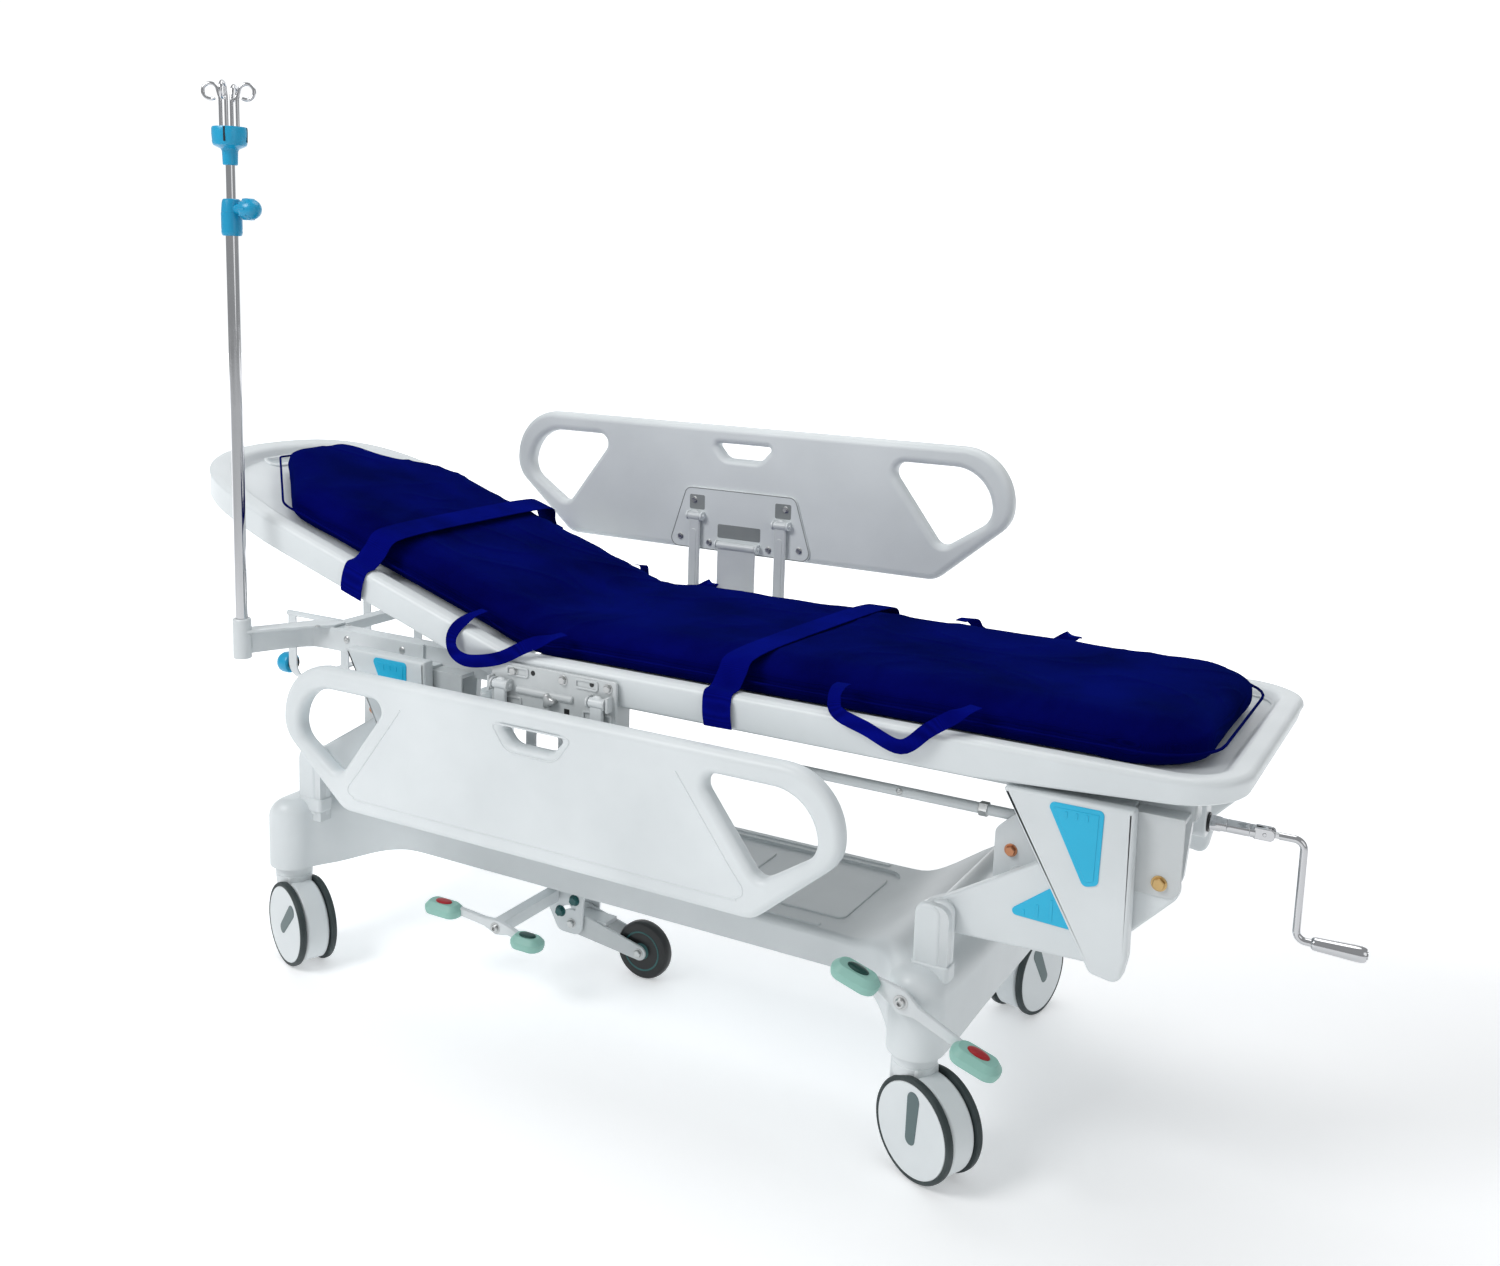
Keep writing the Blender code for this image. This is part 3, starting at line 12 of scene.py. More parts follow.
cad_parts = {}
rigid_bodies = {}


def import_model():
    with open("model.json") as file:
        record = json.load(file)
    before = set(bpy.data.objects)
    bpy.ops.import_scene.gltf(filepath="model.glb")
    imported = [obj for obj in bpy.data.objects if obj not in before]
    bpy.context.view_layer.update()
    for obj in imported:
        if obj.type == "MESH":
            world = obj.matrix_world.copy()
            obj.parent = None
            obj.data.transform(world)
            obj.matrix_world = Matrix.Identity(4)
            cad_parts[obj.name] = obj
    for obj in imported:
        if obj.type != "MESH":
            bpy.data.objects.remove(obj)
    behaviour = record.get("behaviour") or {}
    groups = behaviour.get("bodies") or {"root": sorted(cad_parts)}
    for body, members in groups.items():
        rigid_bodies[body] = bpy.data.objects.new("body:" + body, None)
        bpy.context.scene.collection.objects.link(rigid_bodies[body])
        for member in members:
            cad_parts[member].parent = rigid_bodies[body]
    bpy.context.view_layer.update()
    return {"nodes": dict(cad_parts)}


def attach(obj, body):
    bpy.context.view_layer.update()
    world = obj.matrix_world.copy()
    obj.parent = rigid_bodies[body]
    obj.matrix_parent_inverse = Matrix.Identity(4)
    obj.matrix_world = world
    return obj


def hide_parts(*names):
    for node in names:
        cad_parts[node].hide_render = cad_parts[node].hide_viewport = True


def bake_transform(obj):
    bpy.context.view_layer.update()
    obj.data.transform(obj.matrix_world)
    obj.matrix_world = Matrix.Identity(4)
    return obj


for startup_object in list(bpy.data.objects):
    bpy.data.objects.remove(startup_object, do_unlink=True)

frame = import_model()
random.seed(7)

# ---------------------------------------------------------------- the CAD's driving dimensions
LEG_X, LEG_Y, LEG_RADIUS, LEG_BOTTOM = 0.6006, 0.2806, 0.042, 0.173
BASE_HALF_WIDTH, BASE_BOTTOM, END_BOTTOM, BASE_TOP = 0.1579, 0.1915, 0.1814, 0.2461
SHOULDER_TOP = 0.2982
WHEEL_RADIUS, WHEEL_HALF_WIDTH, HOOD_HALF_WIDTH, CASTOR_TRAIL = 0.075, 0.034, 0.0218, 0.0336
CASTORS = {
    "foot_near": (1, -1, -25.0),
    "foot_far": (1, 1, -102.0),
    "head_near": (-1, -1, -22.0),
    "head_far": (-1, 1, -15.0),
}
ARM_PIVOT_Z, ARM_PIVOT_FOOT_X, ARM_RUN, ARM_RISE, HEAD_SHIFT = 0.3612, 0.6132, 0.2965, 0.1201, -1.176
ARM_INNER_Y, ARM_OUTER_Y, PANEL_INNER_Y, PANEL_OUTER_Y = 0.2251, 0.2486, 0.252, 0.2772
FRAME_HEAD_X, FRAME_FOOT_X, FRAME_INNER_Y, FRAME_OUTER_Y = -0.6, 0.9408, 0.1915, 0.2201
FRAME_BOTTOM, FRAME_TOP = 0.5611, 0.6014
PANEL_TOP = {"foot": 0.5785, "head": 0.59}
DECK_HALF_WIDTH, DECK_FOOT_X, RIM_WIDTH, FOOT_CORNER = 0.2814, 1.008, 0.0437, 0.0924
RIM_BOTTOM, FOOT_RIM_BOTTOM, RIM_TOP = 0.5796, 0.6014, 0.6342
PLATFORM_TOP = 0.6174
HINGE_X, HINGE_Z, BACKREST_LENGTH, NARROWING_START, BACKREST_REST_DEG = -0.126, 0.6283, 0.84, 0.5544, 17.6
MATTRESS_THICKNESS, MATTRESS_HALF_WIDTH, MATTRESS_CHAMFER = 0.0554, 0.2318, 0.1806
RAIL_CENTRE_X, RAIL_LENGTH, RAIL_HEIGHT = -0.0294, 1.0626, 0.2428
RAIL_INNER_Y, RAIL_OUTER_Y, RAIL_PIVOT_Y, RAIL_PIVOT_Z = 0.31, 0.3436, 0.2982, 0.588
RAIL_ARM, RAIL_ARM_SPACING, RAIL_LINK_DROP, RAIL_PIVOT_ABOVE_BOTTOM = 0.194, 0.0924, 0.0504, 0.068
POLE_X, POLE_Y, POLE_TOP = -0.6577, -0.336, 1.3314
COLLAR_LOW, COLLAR_HIGH, CUP_LOW, CUP_HIGH = 1.2802, 1.3406, 1.3952, 1.4566
HOOK_PIVOT_Z, HOOK_FIRST_DEG, HOOK_OFFSET, HOOK_EYE, HOOK_EYE_RADIUS = 1.4465, 30.0, 0.0139, (0.0158,
        0.0668), 0.0125
CRANK_Y, CRANK_Z, CRANK_FOLD_X, CRANK_THROW = -0.1008, 0.5225, 1.0122, 0.1386
FIFTH_Y, FIFTH_PIVOT, FIFTH_AXLE, FIFTH_WHEEL_RADIUS = -0.0168, (-0.1561, 0.0773), (-0.0175, 0.0528), 0.0525
CENTRE_SHAFT, CORNER_PEDAL, CORNER_PEDAL_TILT = (-0.1922, 0.126), (0.5981, 0.2671), 17.0
TIE_OFFSET, LEVER_BOSS, TIE_ROD_Y = (0.1008, 0.1428), (0.0941, 0.0672), -0.1781
TIP_Z = ARM_PIVOT_Z + ARM_RISE


# ---------------------------------------------------------------- camera, floor and light
CAMERA_PLACE, CAMERA_LENS, CAMERA_SHIFT = (1.2936, -2.1118, 1.2449), 35.49, (0.0195, -0.0786)
CAMERA_ANGLES = (29.413, 9.358, 1.631)
BACKDROP_LIGHT, ROOM_LIGHT, BACKDROP_WAY = 1.1, 0.40, (-0.491, 0.871, 0.0)


def make_camera():
    """The camera, at the photograph's place and angle."""
    azimuth, pitch, roll = (math.radians(a) for a in CAMERA_ANGLES)
    forward = Vector((-math.sin(azimuth) * math.cos(pitch), math.cos(azimuth) * math.cos(pitch),
                      -math.sin(pitch)))
    right = Vector((math.cos(azimuth), math.sin(azimuth), 0))
    up = right.cross(forward)
    across = math.cos(roll) * right + math.sin(roll) * up
    upward = -math.sin(roll) * right + math.cos(roll) * up
    data = bpy.data.cameras.new("camera")
    data.lens = CAMERA_LENS
    data.shift_x, data.shift_y = CAMERA_SHIFT
    data.clip_end = 50
    camera = bpy.data.objects.new("camera", data)
    turn = Matrix((across, upward, -forward)).transposed().to_4x4()
    camera.matrix_world = Matrix.Translation(CAMERA_PLACE) @ turn
    bpy.context.scene.collection.objects.link(camera)
    bpy.context.scene.camera = camera


def area_light(name, place, target, size, power, colour=(1, 1, 1)):
    """A round, soft light at a place, turned to a target."""
    data = bpy.data.lights.new(name, "AREA")
    data.shape = "DISK"
    data.size = size
    data.energy = power
    data.color = colour
    light = bpy.data.objects.new(name, data)
    light.location = place
    light.rotation_euler = (Vector(target) - Vector(place)).to_track_quat("-Z", "Y").to_euler()
    bpy.context.scene.collection.objects.link(light)


def make_world():
    """A plain white backdrop where the camera looks, and a dimmer room around it."""
    world = bpy.data.worlds.new("studio")
    world.use_nodes = True
    tree = world.node_tree
    away = tree.nodes.new("ShaderNodeVectorMath")
    away.operation = "DOT_PRODUCT"
    away.inputs[1].default_value = BACKDROP_WAY
    tree.links.new(tree.nodes.new("ShaderNodeTexCoord").outputs["Generated"], away.inputs[0])
    level = tree.nodes.new("ShaderNodeMapRange")
    level.interpolation_type = "SMOOTHSTEP"
    for socket, value in {"From Min": 0.72, "From Max": 0.86, "To Min": ROOM_LIGHT,
                          "To Max": BACKDROP_LIGHT}.items():
        level.inputs[socket].default_value = value
    tree.links.new(away.outputs["Value"], level.inputs["Value"])
    tree.links.new(level.outputs["Result"], tree.nodes["Background"].inputs["Strength"])
    tree.nodes["Background"].inputs["Color"].default_value = (0.97, 0.985, 1.0, 1)
    bpy.context.scene.world = world


def make_floor():
    """A pale floor that glows towards its edge, so that it meets the backdrop without a line."""
    half = 14.0
    bm = bmesh.new()
    bm.faces.new([bm.verts.new((x * half, y * half, 0)) for x, y in ((-1, -1), (1, -1), (1, 1), (-1, 1))])
    mesh = bpy.data.meshes.new("floor")
    bm.to_mesh(mesh)
    bm.free()
    floor = bpy.data.objects.new("floor", mesh)
    paper = simple_material("floor_paper", (0.93, 0.935, 0.94), 0.85)
    away = node(paper, "VectorMath", {0: place_coordinates(paper), 1: BACKDROP_WAY},
                operation="DOT_PRODUCT").outputs["Value"]
    to_shader(paper, "Emission Strength", ranged(paper, away, 0.24, BACKDROP_LIGHT, -0.4, 2.8))
    paper.node_tree.nodes["Principled BSDF"].inputs["Emission Color"].default_value = (0.97, 0.985, 1.0, 1)
    mesh.materials.append(paper)
    bpy.context.scene.collection.objects.link(floor)


def make_studio():
    """The colours' view transform, the backdrop, the floor and three soft lights."""
    bpy.context.scene.view_settings.view_transform = "Standard"
    make_world()
    make_floor()
    area_light("key", (-1.4, -2.8, 3.2), (0.1, 0, 0.4), 1.8, 72)
    area_light("fill", (3.4, -1.4, 1.9), (0.2, 0, 0.4), 2.2, 10)
    area_light("top", (0.2, 0.8, 3.4), (0, 0, 0.5), 2.2, 28)


# ---------------------------------------------------------------- materials
def simple_material(name, colour, roughness, metallic=0.0, **sockets):
    """A plain material for the others to build on. sockets are set on its shader."""
    made = bpy.data.materials.new(name)
    made.use_nodes = True
    shader = made.node_tree.nodes["Principled BSDF"]
    shader.inputs["Base Color"].default_value = (*colour, 1)
    shader.inputs["Roughness"].default_value = roughness
    shader.inputs["Metallic"].default_value = metallic
    for socket, value in sockets.items():
        shader.inputs[socket.replace("_", " ")].default_value = value
    return made


def node(mat, kind, inputs=None, **settings):
    """Adds a shader node. An input is linked to a socket, or set to a value."""
    made = mat.node_tree.nodes.new("ShaderNode" + kind)
    for key, value in settings.items():
        setattr(made, key, value)
    for key, value in (inputs or {}).items():
        if isinstance(value, bpy.types.NodeSocket):
            mat.node_tree.links.new(value, made.inputs[key])
        else:
            made.inputs[key].default_value = value
    return made


def place_coordinates(mat):
    """The surface's own coordinates, in metres."""
    return node(mat, "TexCoord").outputs["Object"]


def noise_value(mat, scale, detail=3.0):
    """Cloudy noise, from 0 to 1. A larger scale gives smaller clouds."""
    return node(mat, "TexNoise", {"Vector": place_coordinates(mat), "Scale": scale,
                                  "Detail": detail}).outputs["Fac"]


def ranged(mat, value, low, high, start=0.35, end=0.65):
    """A value that runs from start to end, mapped onto low to high."""
    inputs = {"Value": value, "From Min": start, "From Max": end, "To Min": low, "To Max": high}
    return node(mat, "MapRange", inputs).outputs["Result"]


def to_shader(mat, socket, value):
    """Links a value to a socket of the material's shader."""
    mat.node_tree.links.new(value, mat.node_tree.nodes["Principled BSDF"].inputs[socket])


def vary_colour(mat, value, dark, light):
    """Colours the surface between dark and light by a value from 0 to 1."""
    mixed = node(mat, "Mix", data_type="RGBA")
    mat.node_tree.links.new(value, mixed.inputs["Factor"])
    mixed.inputs["A"].default_value = (*dark, 1)
    mixed.inputs["B"].default_value = (*light, 1)
    to_shader(mat, "Base Color", mixed.outputs["Result"])


def bumps(mat, layers):
    """Adds bump layers, each (height value, depth in metres)."""
    normal = None
    for value, depth in layers:
        inputs = {"Height": value, "Distance": depth, "Strength": 1.0}
        if normal is not None:
            inputs["Normal"] = normal
        normal = node(mat, "Bump", inputs).outputs["Normal"]
    to_shader(mat, "Normal", normal)


def scuffs(mat, scale=14.0):
    """Sparse patches, from 0 to 1, where handling has dulled a surface."""
    stretched = node(mat, "Mapping", {"Vector": place_coordinates(mat),
                                      "Scale": (1.0, 1.0, 3.5)}).outputs["Vector"]
    found = node(mat, "TexNoise", {"Vector": stretched, "Scale": scale, "Detail": 8.0,
                                   "Roughness": 0.7}).outputs["Fac"]
    return ranged(mat, found, 0.0, 1.0, 0.60, 0.78)


def moulded(name, dark, light, roughness, grain=0.00006):
    """Moulded plastic with faint clouds of colour, scuffs and a fine grain."""
    mat = simple_material(name, light, roughness)
    vary_colour(mat, ranged(mat, noise_value(mat, 5.0, 6.0), 0.0, 1.0, 0.3, 0.7), dark, light)
    to_shader(mat, "Roughness", ranged(mat, scuffs(mat), roughness, roughness + 0.14, 0.0, 1.0))
    bumps(mat, [(noise_value(mat, 1100.0, 2.0), grain), (noise_value(mat, 22.0, 2.0), 0.0004)])
    return mat


def coated_metal(name, dark, light, roughness):
    """Painted or powder-coated metal, under a thin coat."""
    mat = simple_material(name, light, roughness, 0.0, Coat_Weight=0.25, Coat_Roughness=0.25)
    vary_colour(mat, ranged(mat, noise_value(mat, 9.0, 5.0), 0.0, 1.0, 0.3, 0.7), dark, light)
    to_shader(mat, "Roughness", ranged(mat, scuffs(mat, 22.0), roughness, roughness + 0.2, 0.0, 1.0))
    bumps(mat, [(noise_value(mat, 420.0, 2.0), 0.00005)])
    return mat


def bright_metal(name, colour, roughness, spread):
    """Bare or plated metal whose roughness varies by the spread."""
    mat = simple_material(name, colour, roughness, 1.0)
    to_shader(mat, "Roughness", ranged(mat, noise_value(mat, 34.0, 6.0), roughness, roughness + spread,
                                       0.35, 0.7))
    bumps(mat, [(noise_value(mat, 600.0, 2.0), 0.00001)])
    return mat


def rubber(name, dark, light):
    """Dull rubber with a dusty variation."""
    mat = simple_material(name, dark, 0.62)
    vary_colour(mat, ranged(mat, noise_value(mat, 30.0, 6.0), 0.0, 1.0, 0.4, 0.75), dark, light)
    to_shader(mat, "Roughness", ranged(mat, noise_value(mat, 60.0, 4.0), 0.5, 0.75))
    bumps(mat, [(noise_value(mat, 900.0, 2.0), 0.0001)])
    return mat


def bands(mat, direction, pitch):
    """Stripes across one axis, from 0 to 1, a pitch apart."""
    inputs = {"Vector": place_coordinates(mat), "Scale": 0.3142 / pitch, "Distortion": 0.6, "Detail": 1.0}
    return node(mat, "TexWave", inputs, wave_type="BANDS", bands_direction=direction).outputs["Fac"]


def woven(name, dark, light, pitch, roughness, sheen, crease, across="Y"):
    """A coated woven fabric: two crossed sets of threads, with creases and a soft sheen."""
    mat = simple_material(name, light, roughness, 0.0, Sheen_Weight=sheen, Sheen_Roughness=0.45,
                          Specular_IOR_Level=0.0)
    mat.node_tree.nodes["Principled BSDF"].inputs["Sheen Tint"].default_value = (0.05, 0.22, 1.0, 1)
    threads = node(mat, "Math", {0: bands(mat, "X", pitch), 1: bands(mat, across, pitch * 0.8)},
                   operation="MULTIPLY").outputs[0]
    clouds = ranged(mat, noise_value(mat, 7.0, 6.0), 0.0, 1.0, 0.3, 0.7)
    mixed = node(mat, "Math", {0: threads, 1: clouds}, operation="ADD")
    vary_colour(mat, ranged(mat, mixed.outputs[0], 0.0, 1.0, 0.1, 1.5), dark, light)
    to_shader(mat, "Roughness", ranged(mat, clouds, roughness - 0.07, roughness + 0.07, 0.0, 1.0))
    bumps(mat, [(noise_value(mat, 9.0, 4.0), crease), (threads, 0.00012)])
    return mat


WHITE = moulded("white_moulding", (0.66, 0.70, 0.715), (0.745, 0.785, 0.80), 0.36)
SHELL = moulded("rail_moulding", (0.68, 0.72, 0.735), (0.77, 0.81, 0.825), 0.40, 0.00009)
PAINT = coated_metal("light_powder_coat", (0.60, 0.635, 0.65), (0.70, 0.735, 0.75), 0.34)
CAST = coated_metal("casting_coat", (0.52, 0.55, 0.56), (0.63, 0.66, 0.67), 0.36)
# Painted shade: a dark grey put into the side rails' sunk lines and pockets in place of the shade that
# falls in them.
PAINTED_RECESS_SHADE = moulded("recess_shade", (0.20, 0.22, 0.225), (0.28, 0.30, 0.305), 0.6)
PAN = moulded("dark_pan", (0.06, 0.075, 0.07), (0.10, 0.12, 0.115), 0.5)
CYAN = moulded("cyan_moulding", (0.010, 0.43, 0.68), (0.016, 0.51, 0.79), 0.30)
SKY = moulded("pole_moulding", (0.006, 0.28, 0.50), (0.010, 0.37, 0.63), 0.28)
CHROME = bright_metal("chrome_plate", (0.60, 0.605, 0.62), 0.06, 0.08)
ZINC = bright_metal("zinc_plate", (0.55, 0.56, 0.56), 0.28, 0.16)
BRASS = bright_metal("brass_plate", (0.58, 0.40, 0.18), 0.28, 0.16)
COPPER = bright_metal("copper_plate", (0.52, 0.24, 0.13), 0.30, 0.16)
TYRE = rubber("tyre_rubber", (0.022, 0.034, 0.036), (0.05, 0.066, 0.068))
GREY = moulded("disc_insert", (0.085, 0.13, 0.135), (0.11, 0.165, 0.17), 0.42)
BLACK = moulded("black_moulding", (0.006, 0.007, 0.008), (0.012, 0.014, 0.015), 0.4)
TEAL = moulded("teal_pad", (0.24, 0.46, 0.40), (0.30, 0.56, 0.49), 0.46)
HUB = moulded("dark_teal_moulding", (0.012, 0.085, 0.085), (0.02, 0.13, 0.13), 0.4)
RED = moulded("red_button", (0.26, 0.004, 0.008), (0.42, 0.008, 0.014), 0.30)
GREEN = moulded("green_button", (0.003, 0.035, 0.028), (0.006, 0.06, 0.05), 0.30)
COVER = woven("navy_cover", (0.0008, 0.0008, 0.042), (0.0016, 0.0030, 0.135), 0.0012, 0.52, 0.05, 0.0018)
WEBBING = woven("navy_webbing", (0.0010, 0.0014, 0.075), (0.0024, 0.0050, 0.22), 0.0018, 0.55, 0.05, 0.0006)


# ---------------------------------------------------------------- shapes, each returned as a mesh
def to_mesh(bm):
    """Finishes a bmesh as a mesh with its faces turned outwards."""
    bmesh.ops.remove_doubles(bm, verts=bm.verts, dist=1e-6)
    bmesh.ops.recalc_face_normals(bm, faces=bm.faces)
    mesh = bpy.data.meshes.new("shape")
    bm.to_mesh(mesh)
    bm.free()
    return mesh


def joined(*meshes):
    """One mesh from several, which are used up."""
    bm = bmesh.new()
    for mesh in meshes:
        bm.from_mesh(mesh)
        bpy.data.meshes.remove(mesh)
    mesh = bpy.data.meshes.new("shape")
    bm.to_mesh(mesh)
    bm.free()
    return mesh


def moved(mesh, matrix):
    """Moves a mesh's points by a matrix."""
    mesh.transform(matrix)
    return mesh


def placed(point, degrees, axis="Z"):
    """A move to a point, turned about an axis."""
    return Matrix.Translation(point) @ Matrix.Rotation(math.radians(degrees), 4, axis)


def oriented(loop, anticlockwise):
    """The outline, turned to run anticlockwise or clockwise."""
    area = sum(a[0] * b[1] - b[0] * a[1] for a, b in zip(loop, loop[1:] + loop[:1]))
    return list(loop) if (area > 0) == anticlockwise else list(reversed(loop))


def offset(loop, distance):
    """Moves an outline to its left by a distance: inwards for an anticlockwise one."""
    count = len(loop)
    points = []
    for i, here in enumerate(loop):
        last, following = loop[i - 1], loop[(i + 1) % count]
        first = Vector((last[1] - here[1], here[0] - last[0])).normalized()
        second = Vector((here[1] - following[1], following[0] - here[0])).normalized()
        share = max(0.35, 1 + first.dot(second))
        points.append(tuple(Vector(here) + (first + second) * (distance / share)))
    return points


PLACES = {
    "X": lambda a, b, h: (h, a, b),
    "Y": lambda a, b, h: (a, h, b),
    "Z": lambda a, b, h: (a, b, h),
}


def edge_steps(low, high, bevel, steps):
    """(height, inset) pairs up the side of a plate whose two edges are rounded."""
    rise = [(bevel * (1 - math.cos(math.pi / 2 * k / steps)),
             bevel * (1 - math.sin(math.pi / 2 * k / steps))) for k in range(steps + 1)]
    return [(low + up, inset) for up, inset in rise] + [(high - up, inset) for up, inset in reversed(rise)]


def slab(loops, axis, low, high, bevel=0.002, steps=3):
    """A plate with round edges: its outline first, then its holes. Points are (y, z), (x, z) or (x, y)."""
    low, high = sorted((low, high))
    bevel = min(bevel, 0.499 * (high - low))
    place = PLACES[axis]
    bm = bmesh.new()
    lids = ([], [])
    for number, loop in enumerate(loops):
        loop = oriented(loop, number == 0)
        rings = []
        for height, inset in edge_steps(low, high, bevel, steps):
            rings.append([bm.verts.new(place(a, b, height)) for a, b in offset(loop, inset)])
        for lower, upper in zip(rings, rings[1:]):
            for k in range(len(loop)):
                m = (k + 1) % len(loop)
                bm.faces.new((lower[k], lower[m], upper[m], upper[k]))
        lids[0].append((offset(loop, bevel), rings[0]))
        lids[1].append((offset(loop, bevel), rings[-1]))
    for lid in lids:
        corners = [vert for _, ring in lid for vert in ring]
        flat = [[Vector((a, b, 0)) for a, b in points] for points, _ in lid]
        for triangle in tessellate_polygon(flat):
            chosen = [corners[i] for i in triangle]
            if bm.faces.get(chosen) is None:
                bm.faces.new(chosen)
    return to_mesh(bm)


def block(low, high, bevel=0.002, steps=2):
    """A box with round edges all over."""
    bm = bmesh.new()
    bmesh.ops.create_cube(bm, size=1)
    low, high = Vector(low), Vector(high)
    for vert in bm.verts:
        vert.co = Vector(((low + high)[i] / 2 + vert.co[i] * abs(high[i] - low[i]) for i in range(3)))
    bmesh.ops.bevel(bm, geom=list(bm.edges), offset=bevel, segments=steps, profile=0.5, affect="EDGES",
                    clamp_overlap=True)
    return to_mesh(bm)


def side_block(side, x0, x1, y_in, y_out, z0, z1, bevel=0.002):
    """A box on the near (-1) or far (+1) side, y given as distances from the middle."""
    low, high = sorted((side * y_in, side * y_out))
    return block((x0, low, z0), (x1, high, z1), bevel)


def frame_of(direction):
    """A direction and two more at right angles to it."""
    along = Vector(direction).normalized()
    helper = Vector((0, 0, 1)) if abs(along.z) < 0.9 else Vector((1, 0, 0))
    across = helper.cross(along).normalized()
    return along, across, along.cross(across)


def lathe(profile, origin, direction, segments=40, phase=0.0):
    """A turned shape. profile is (distance along the direction, radius), from one end to the other."""
    along, across, other = frame_of(direction)
    origin = Vector(origin)
    bm = bmesh.new()
    rings = []
    for distance, radius in profile:
        centre = origin + along * distance
        if radius < 1e-6:
            rings.append([bm.verts.new(centre)])
            continue
        turn = [2 * math.pi * (k + phase) / segments for k in range(segments)]
        rings.append([bm.verts.new(centre + radius * (math.cos(a) * across + math.sin(a) * other))
                      for a in turn])
    for a, b in zip(rings, rings[1:]):
        for k in range(segments):
            m = (k + 1) % segments
            if len(a) == 1:
                bm.faces.new((a[0], b[m], b[k]))
            elif len(b) == 1:
                bm.faces.new((a[k], a[m], b[0]))
            else:
                bm.faces.new((a[k], a[m], b[m], b[k]))
    for ring in (rings[0], rings[-1]):
        if len(ring) > 1:
            bm.faces.new(ring)
    return to_mesh(bm)


def rod(start, end, radius, bevel=0.0008, segments=24):
    """A round bar with chamfered ends."""
    length = (Vector(end) - Vector(start)).length
    profile = [(0, radius - bevel), (bevel, radius), (length - bevel, radius), (length, radius - bevel)]
    return lathe(profile, start, Vector(end) - Vector(start), segments)


def smooth_path(points, steps=6, closed=False):
    """A curve through the points."""
    points = [Vector(p) for p in points]
    count = len(points)
    path = []
    for i in range(count if closed else count - 1):
        if closed:
            p0, p1, p2, p3 = (points[(i + k) % count] for k in (-1, 0, 1, 2))
        else:
            p0, p1, p2, p3 = (points[min(max(i + k, 0), count - 1)] for k in (-1, 0, 1, 2))
        for k in range(steps):
            t = k / steps
            path.append(0.5 * (2 * p1 + (p2 - p0) * t + (2 * p0 - 5 * p1 + 4 * p2 - p3) * t * t
                               + (3 * p1 - p0 - 3 * p2 + p3) * t**3))
    return path if closed else path + [points[-1]]


def tube(path, radius, segments=14, closed=False):
    """A round bar along a path. radius is one number, or one for each point."""
    points = [Vector(p) for p in path]
    count = len(points)
    radii = radius if isinstance(radius, (list, tuple)) else [radius] * count
    bm = bmesh.new()
    rings = []
    normal = frame_of(points[1] - points[0])[1]
    for i, point in enumerate(points):
        before = points[i - 1] if closed or i else points[0]
        after = points[(i + 1) % count] if closed or i < count - 1 else points[-1]
        along = (after - before).normalized()
        normal = (normal - along * normal.dot(along)).normalized()
        other = along.cross(normal)
        turn = [2 * math.pi * k / segments for k in range(segments)]
        rings.append([bm.verts.new(point + radii[i] * (math.cos(a) * normal + math.sin(a) * other))
                      for a in turn])
    pairs = list(zip(rings, rings[1:])) + ([(rings[-1], rings[0])] if closed else [])
    for a, b in pairs:
        for k in range(segments):
            m = (k + 1) % segments
            bm.faces.new((a[k], a[m], b[m], b[k]))
    if not closed:
        bm.faces.new(rings[0])
        bm.faces.new(rings[-1])
    return to_mesh(bm)


def band(path, across, width, thick, crown=0.0):
    """A flat strap along a path. across is the direction of its width, one vector or one for each point."""
    points = [Vector(p) for p in path]
    bm = bmesh.new()
    rings = []
    section = [(-0.5, -0.3), (-0.47, -0.5), (0, -0.5), (0.47, -0.5), (0.5, -0.3), (0.5, 0.3), (0.47, 0.5),
               (0.25, 0.5), (-0.25, 0.5), (-0.47, 0.5), (-0.5, 0.3)]
    for i, point in enumerate(points):
        along = (points[min(i + 1, len(points) - 1)] - points[max(i - 1, 0)]).normalized()
        wide = Vector(across[i] if isinstance(across, list) else across)
        wide = (wide - along * wide.dot(along)).normalized()
        up = along.cross(wide)
        rings.append([bm.verts.new(point + wide * (a * width) + up * (b * thick + crown * (0.25 - a * a)))
                      for a, b in section])
    for a, b in zip(rings, rings[1:]):
        for k in range(len(section)):
            m = (k + 1) % len(section)
            bm.faces.new((a[k], a[m], b[m], b[k]))
    bm.faces.new(rings[0])
    bm.faces.new(rings[-1])
    return to_mesh(bm)


def box_corners(low_u, high_u, low_v, high_v, radius):
    """The corners of a rectangle, each with its radius, for rounded()."""
    return [(low_u, low_v, radius), (high_u, low_v, radius), (high_u, high_v, radius),
            (low_u, high_v, radius)]


def rounded(corners, steps=8):
    """An outline whose corners (a, b, radius) are turned into arcs."""
    outline = []
    count = len(corners)
    for i, (a, b, radius) in enumerate(corners):
        here = Vector((a, b))
        to_last = (Vector(corners[i - 1][:2]) - here).normalized()
        to_next = (Vector(corners[(i + 1) % count][:2]) - here).normalized()
        if radius <= 0:
            outline.append((a, b))
            continue
        half = to_last.angle(to_next) / 2
        middle = here + (to_last + to_next).normalized() * radius / math.sin(half)
        start = here + to_last * radius / math.tan(half) - middle
        turn = start.angle_signed(here + to_next * radius / math.tan(half) - middle)
        for k in range(steps + 1):
            angle = -turn * k / steps
            c, s = math.cos(angle), math.sin(angle)
            outline.append(tuple(middle + Vector((start.x * c - start.y * s, start.x * s + start.y * c))))
    return outline


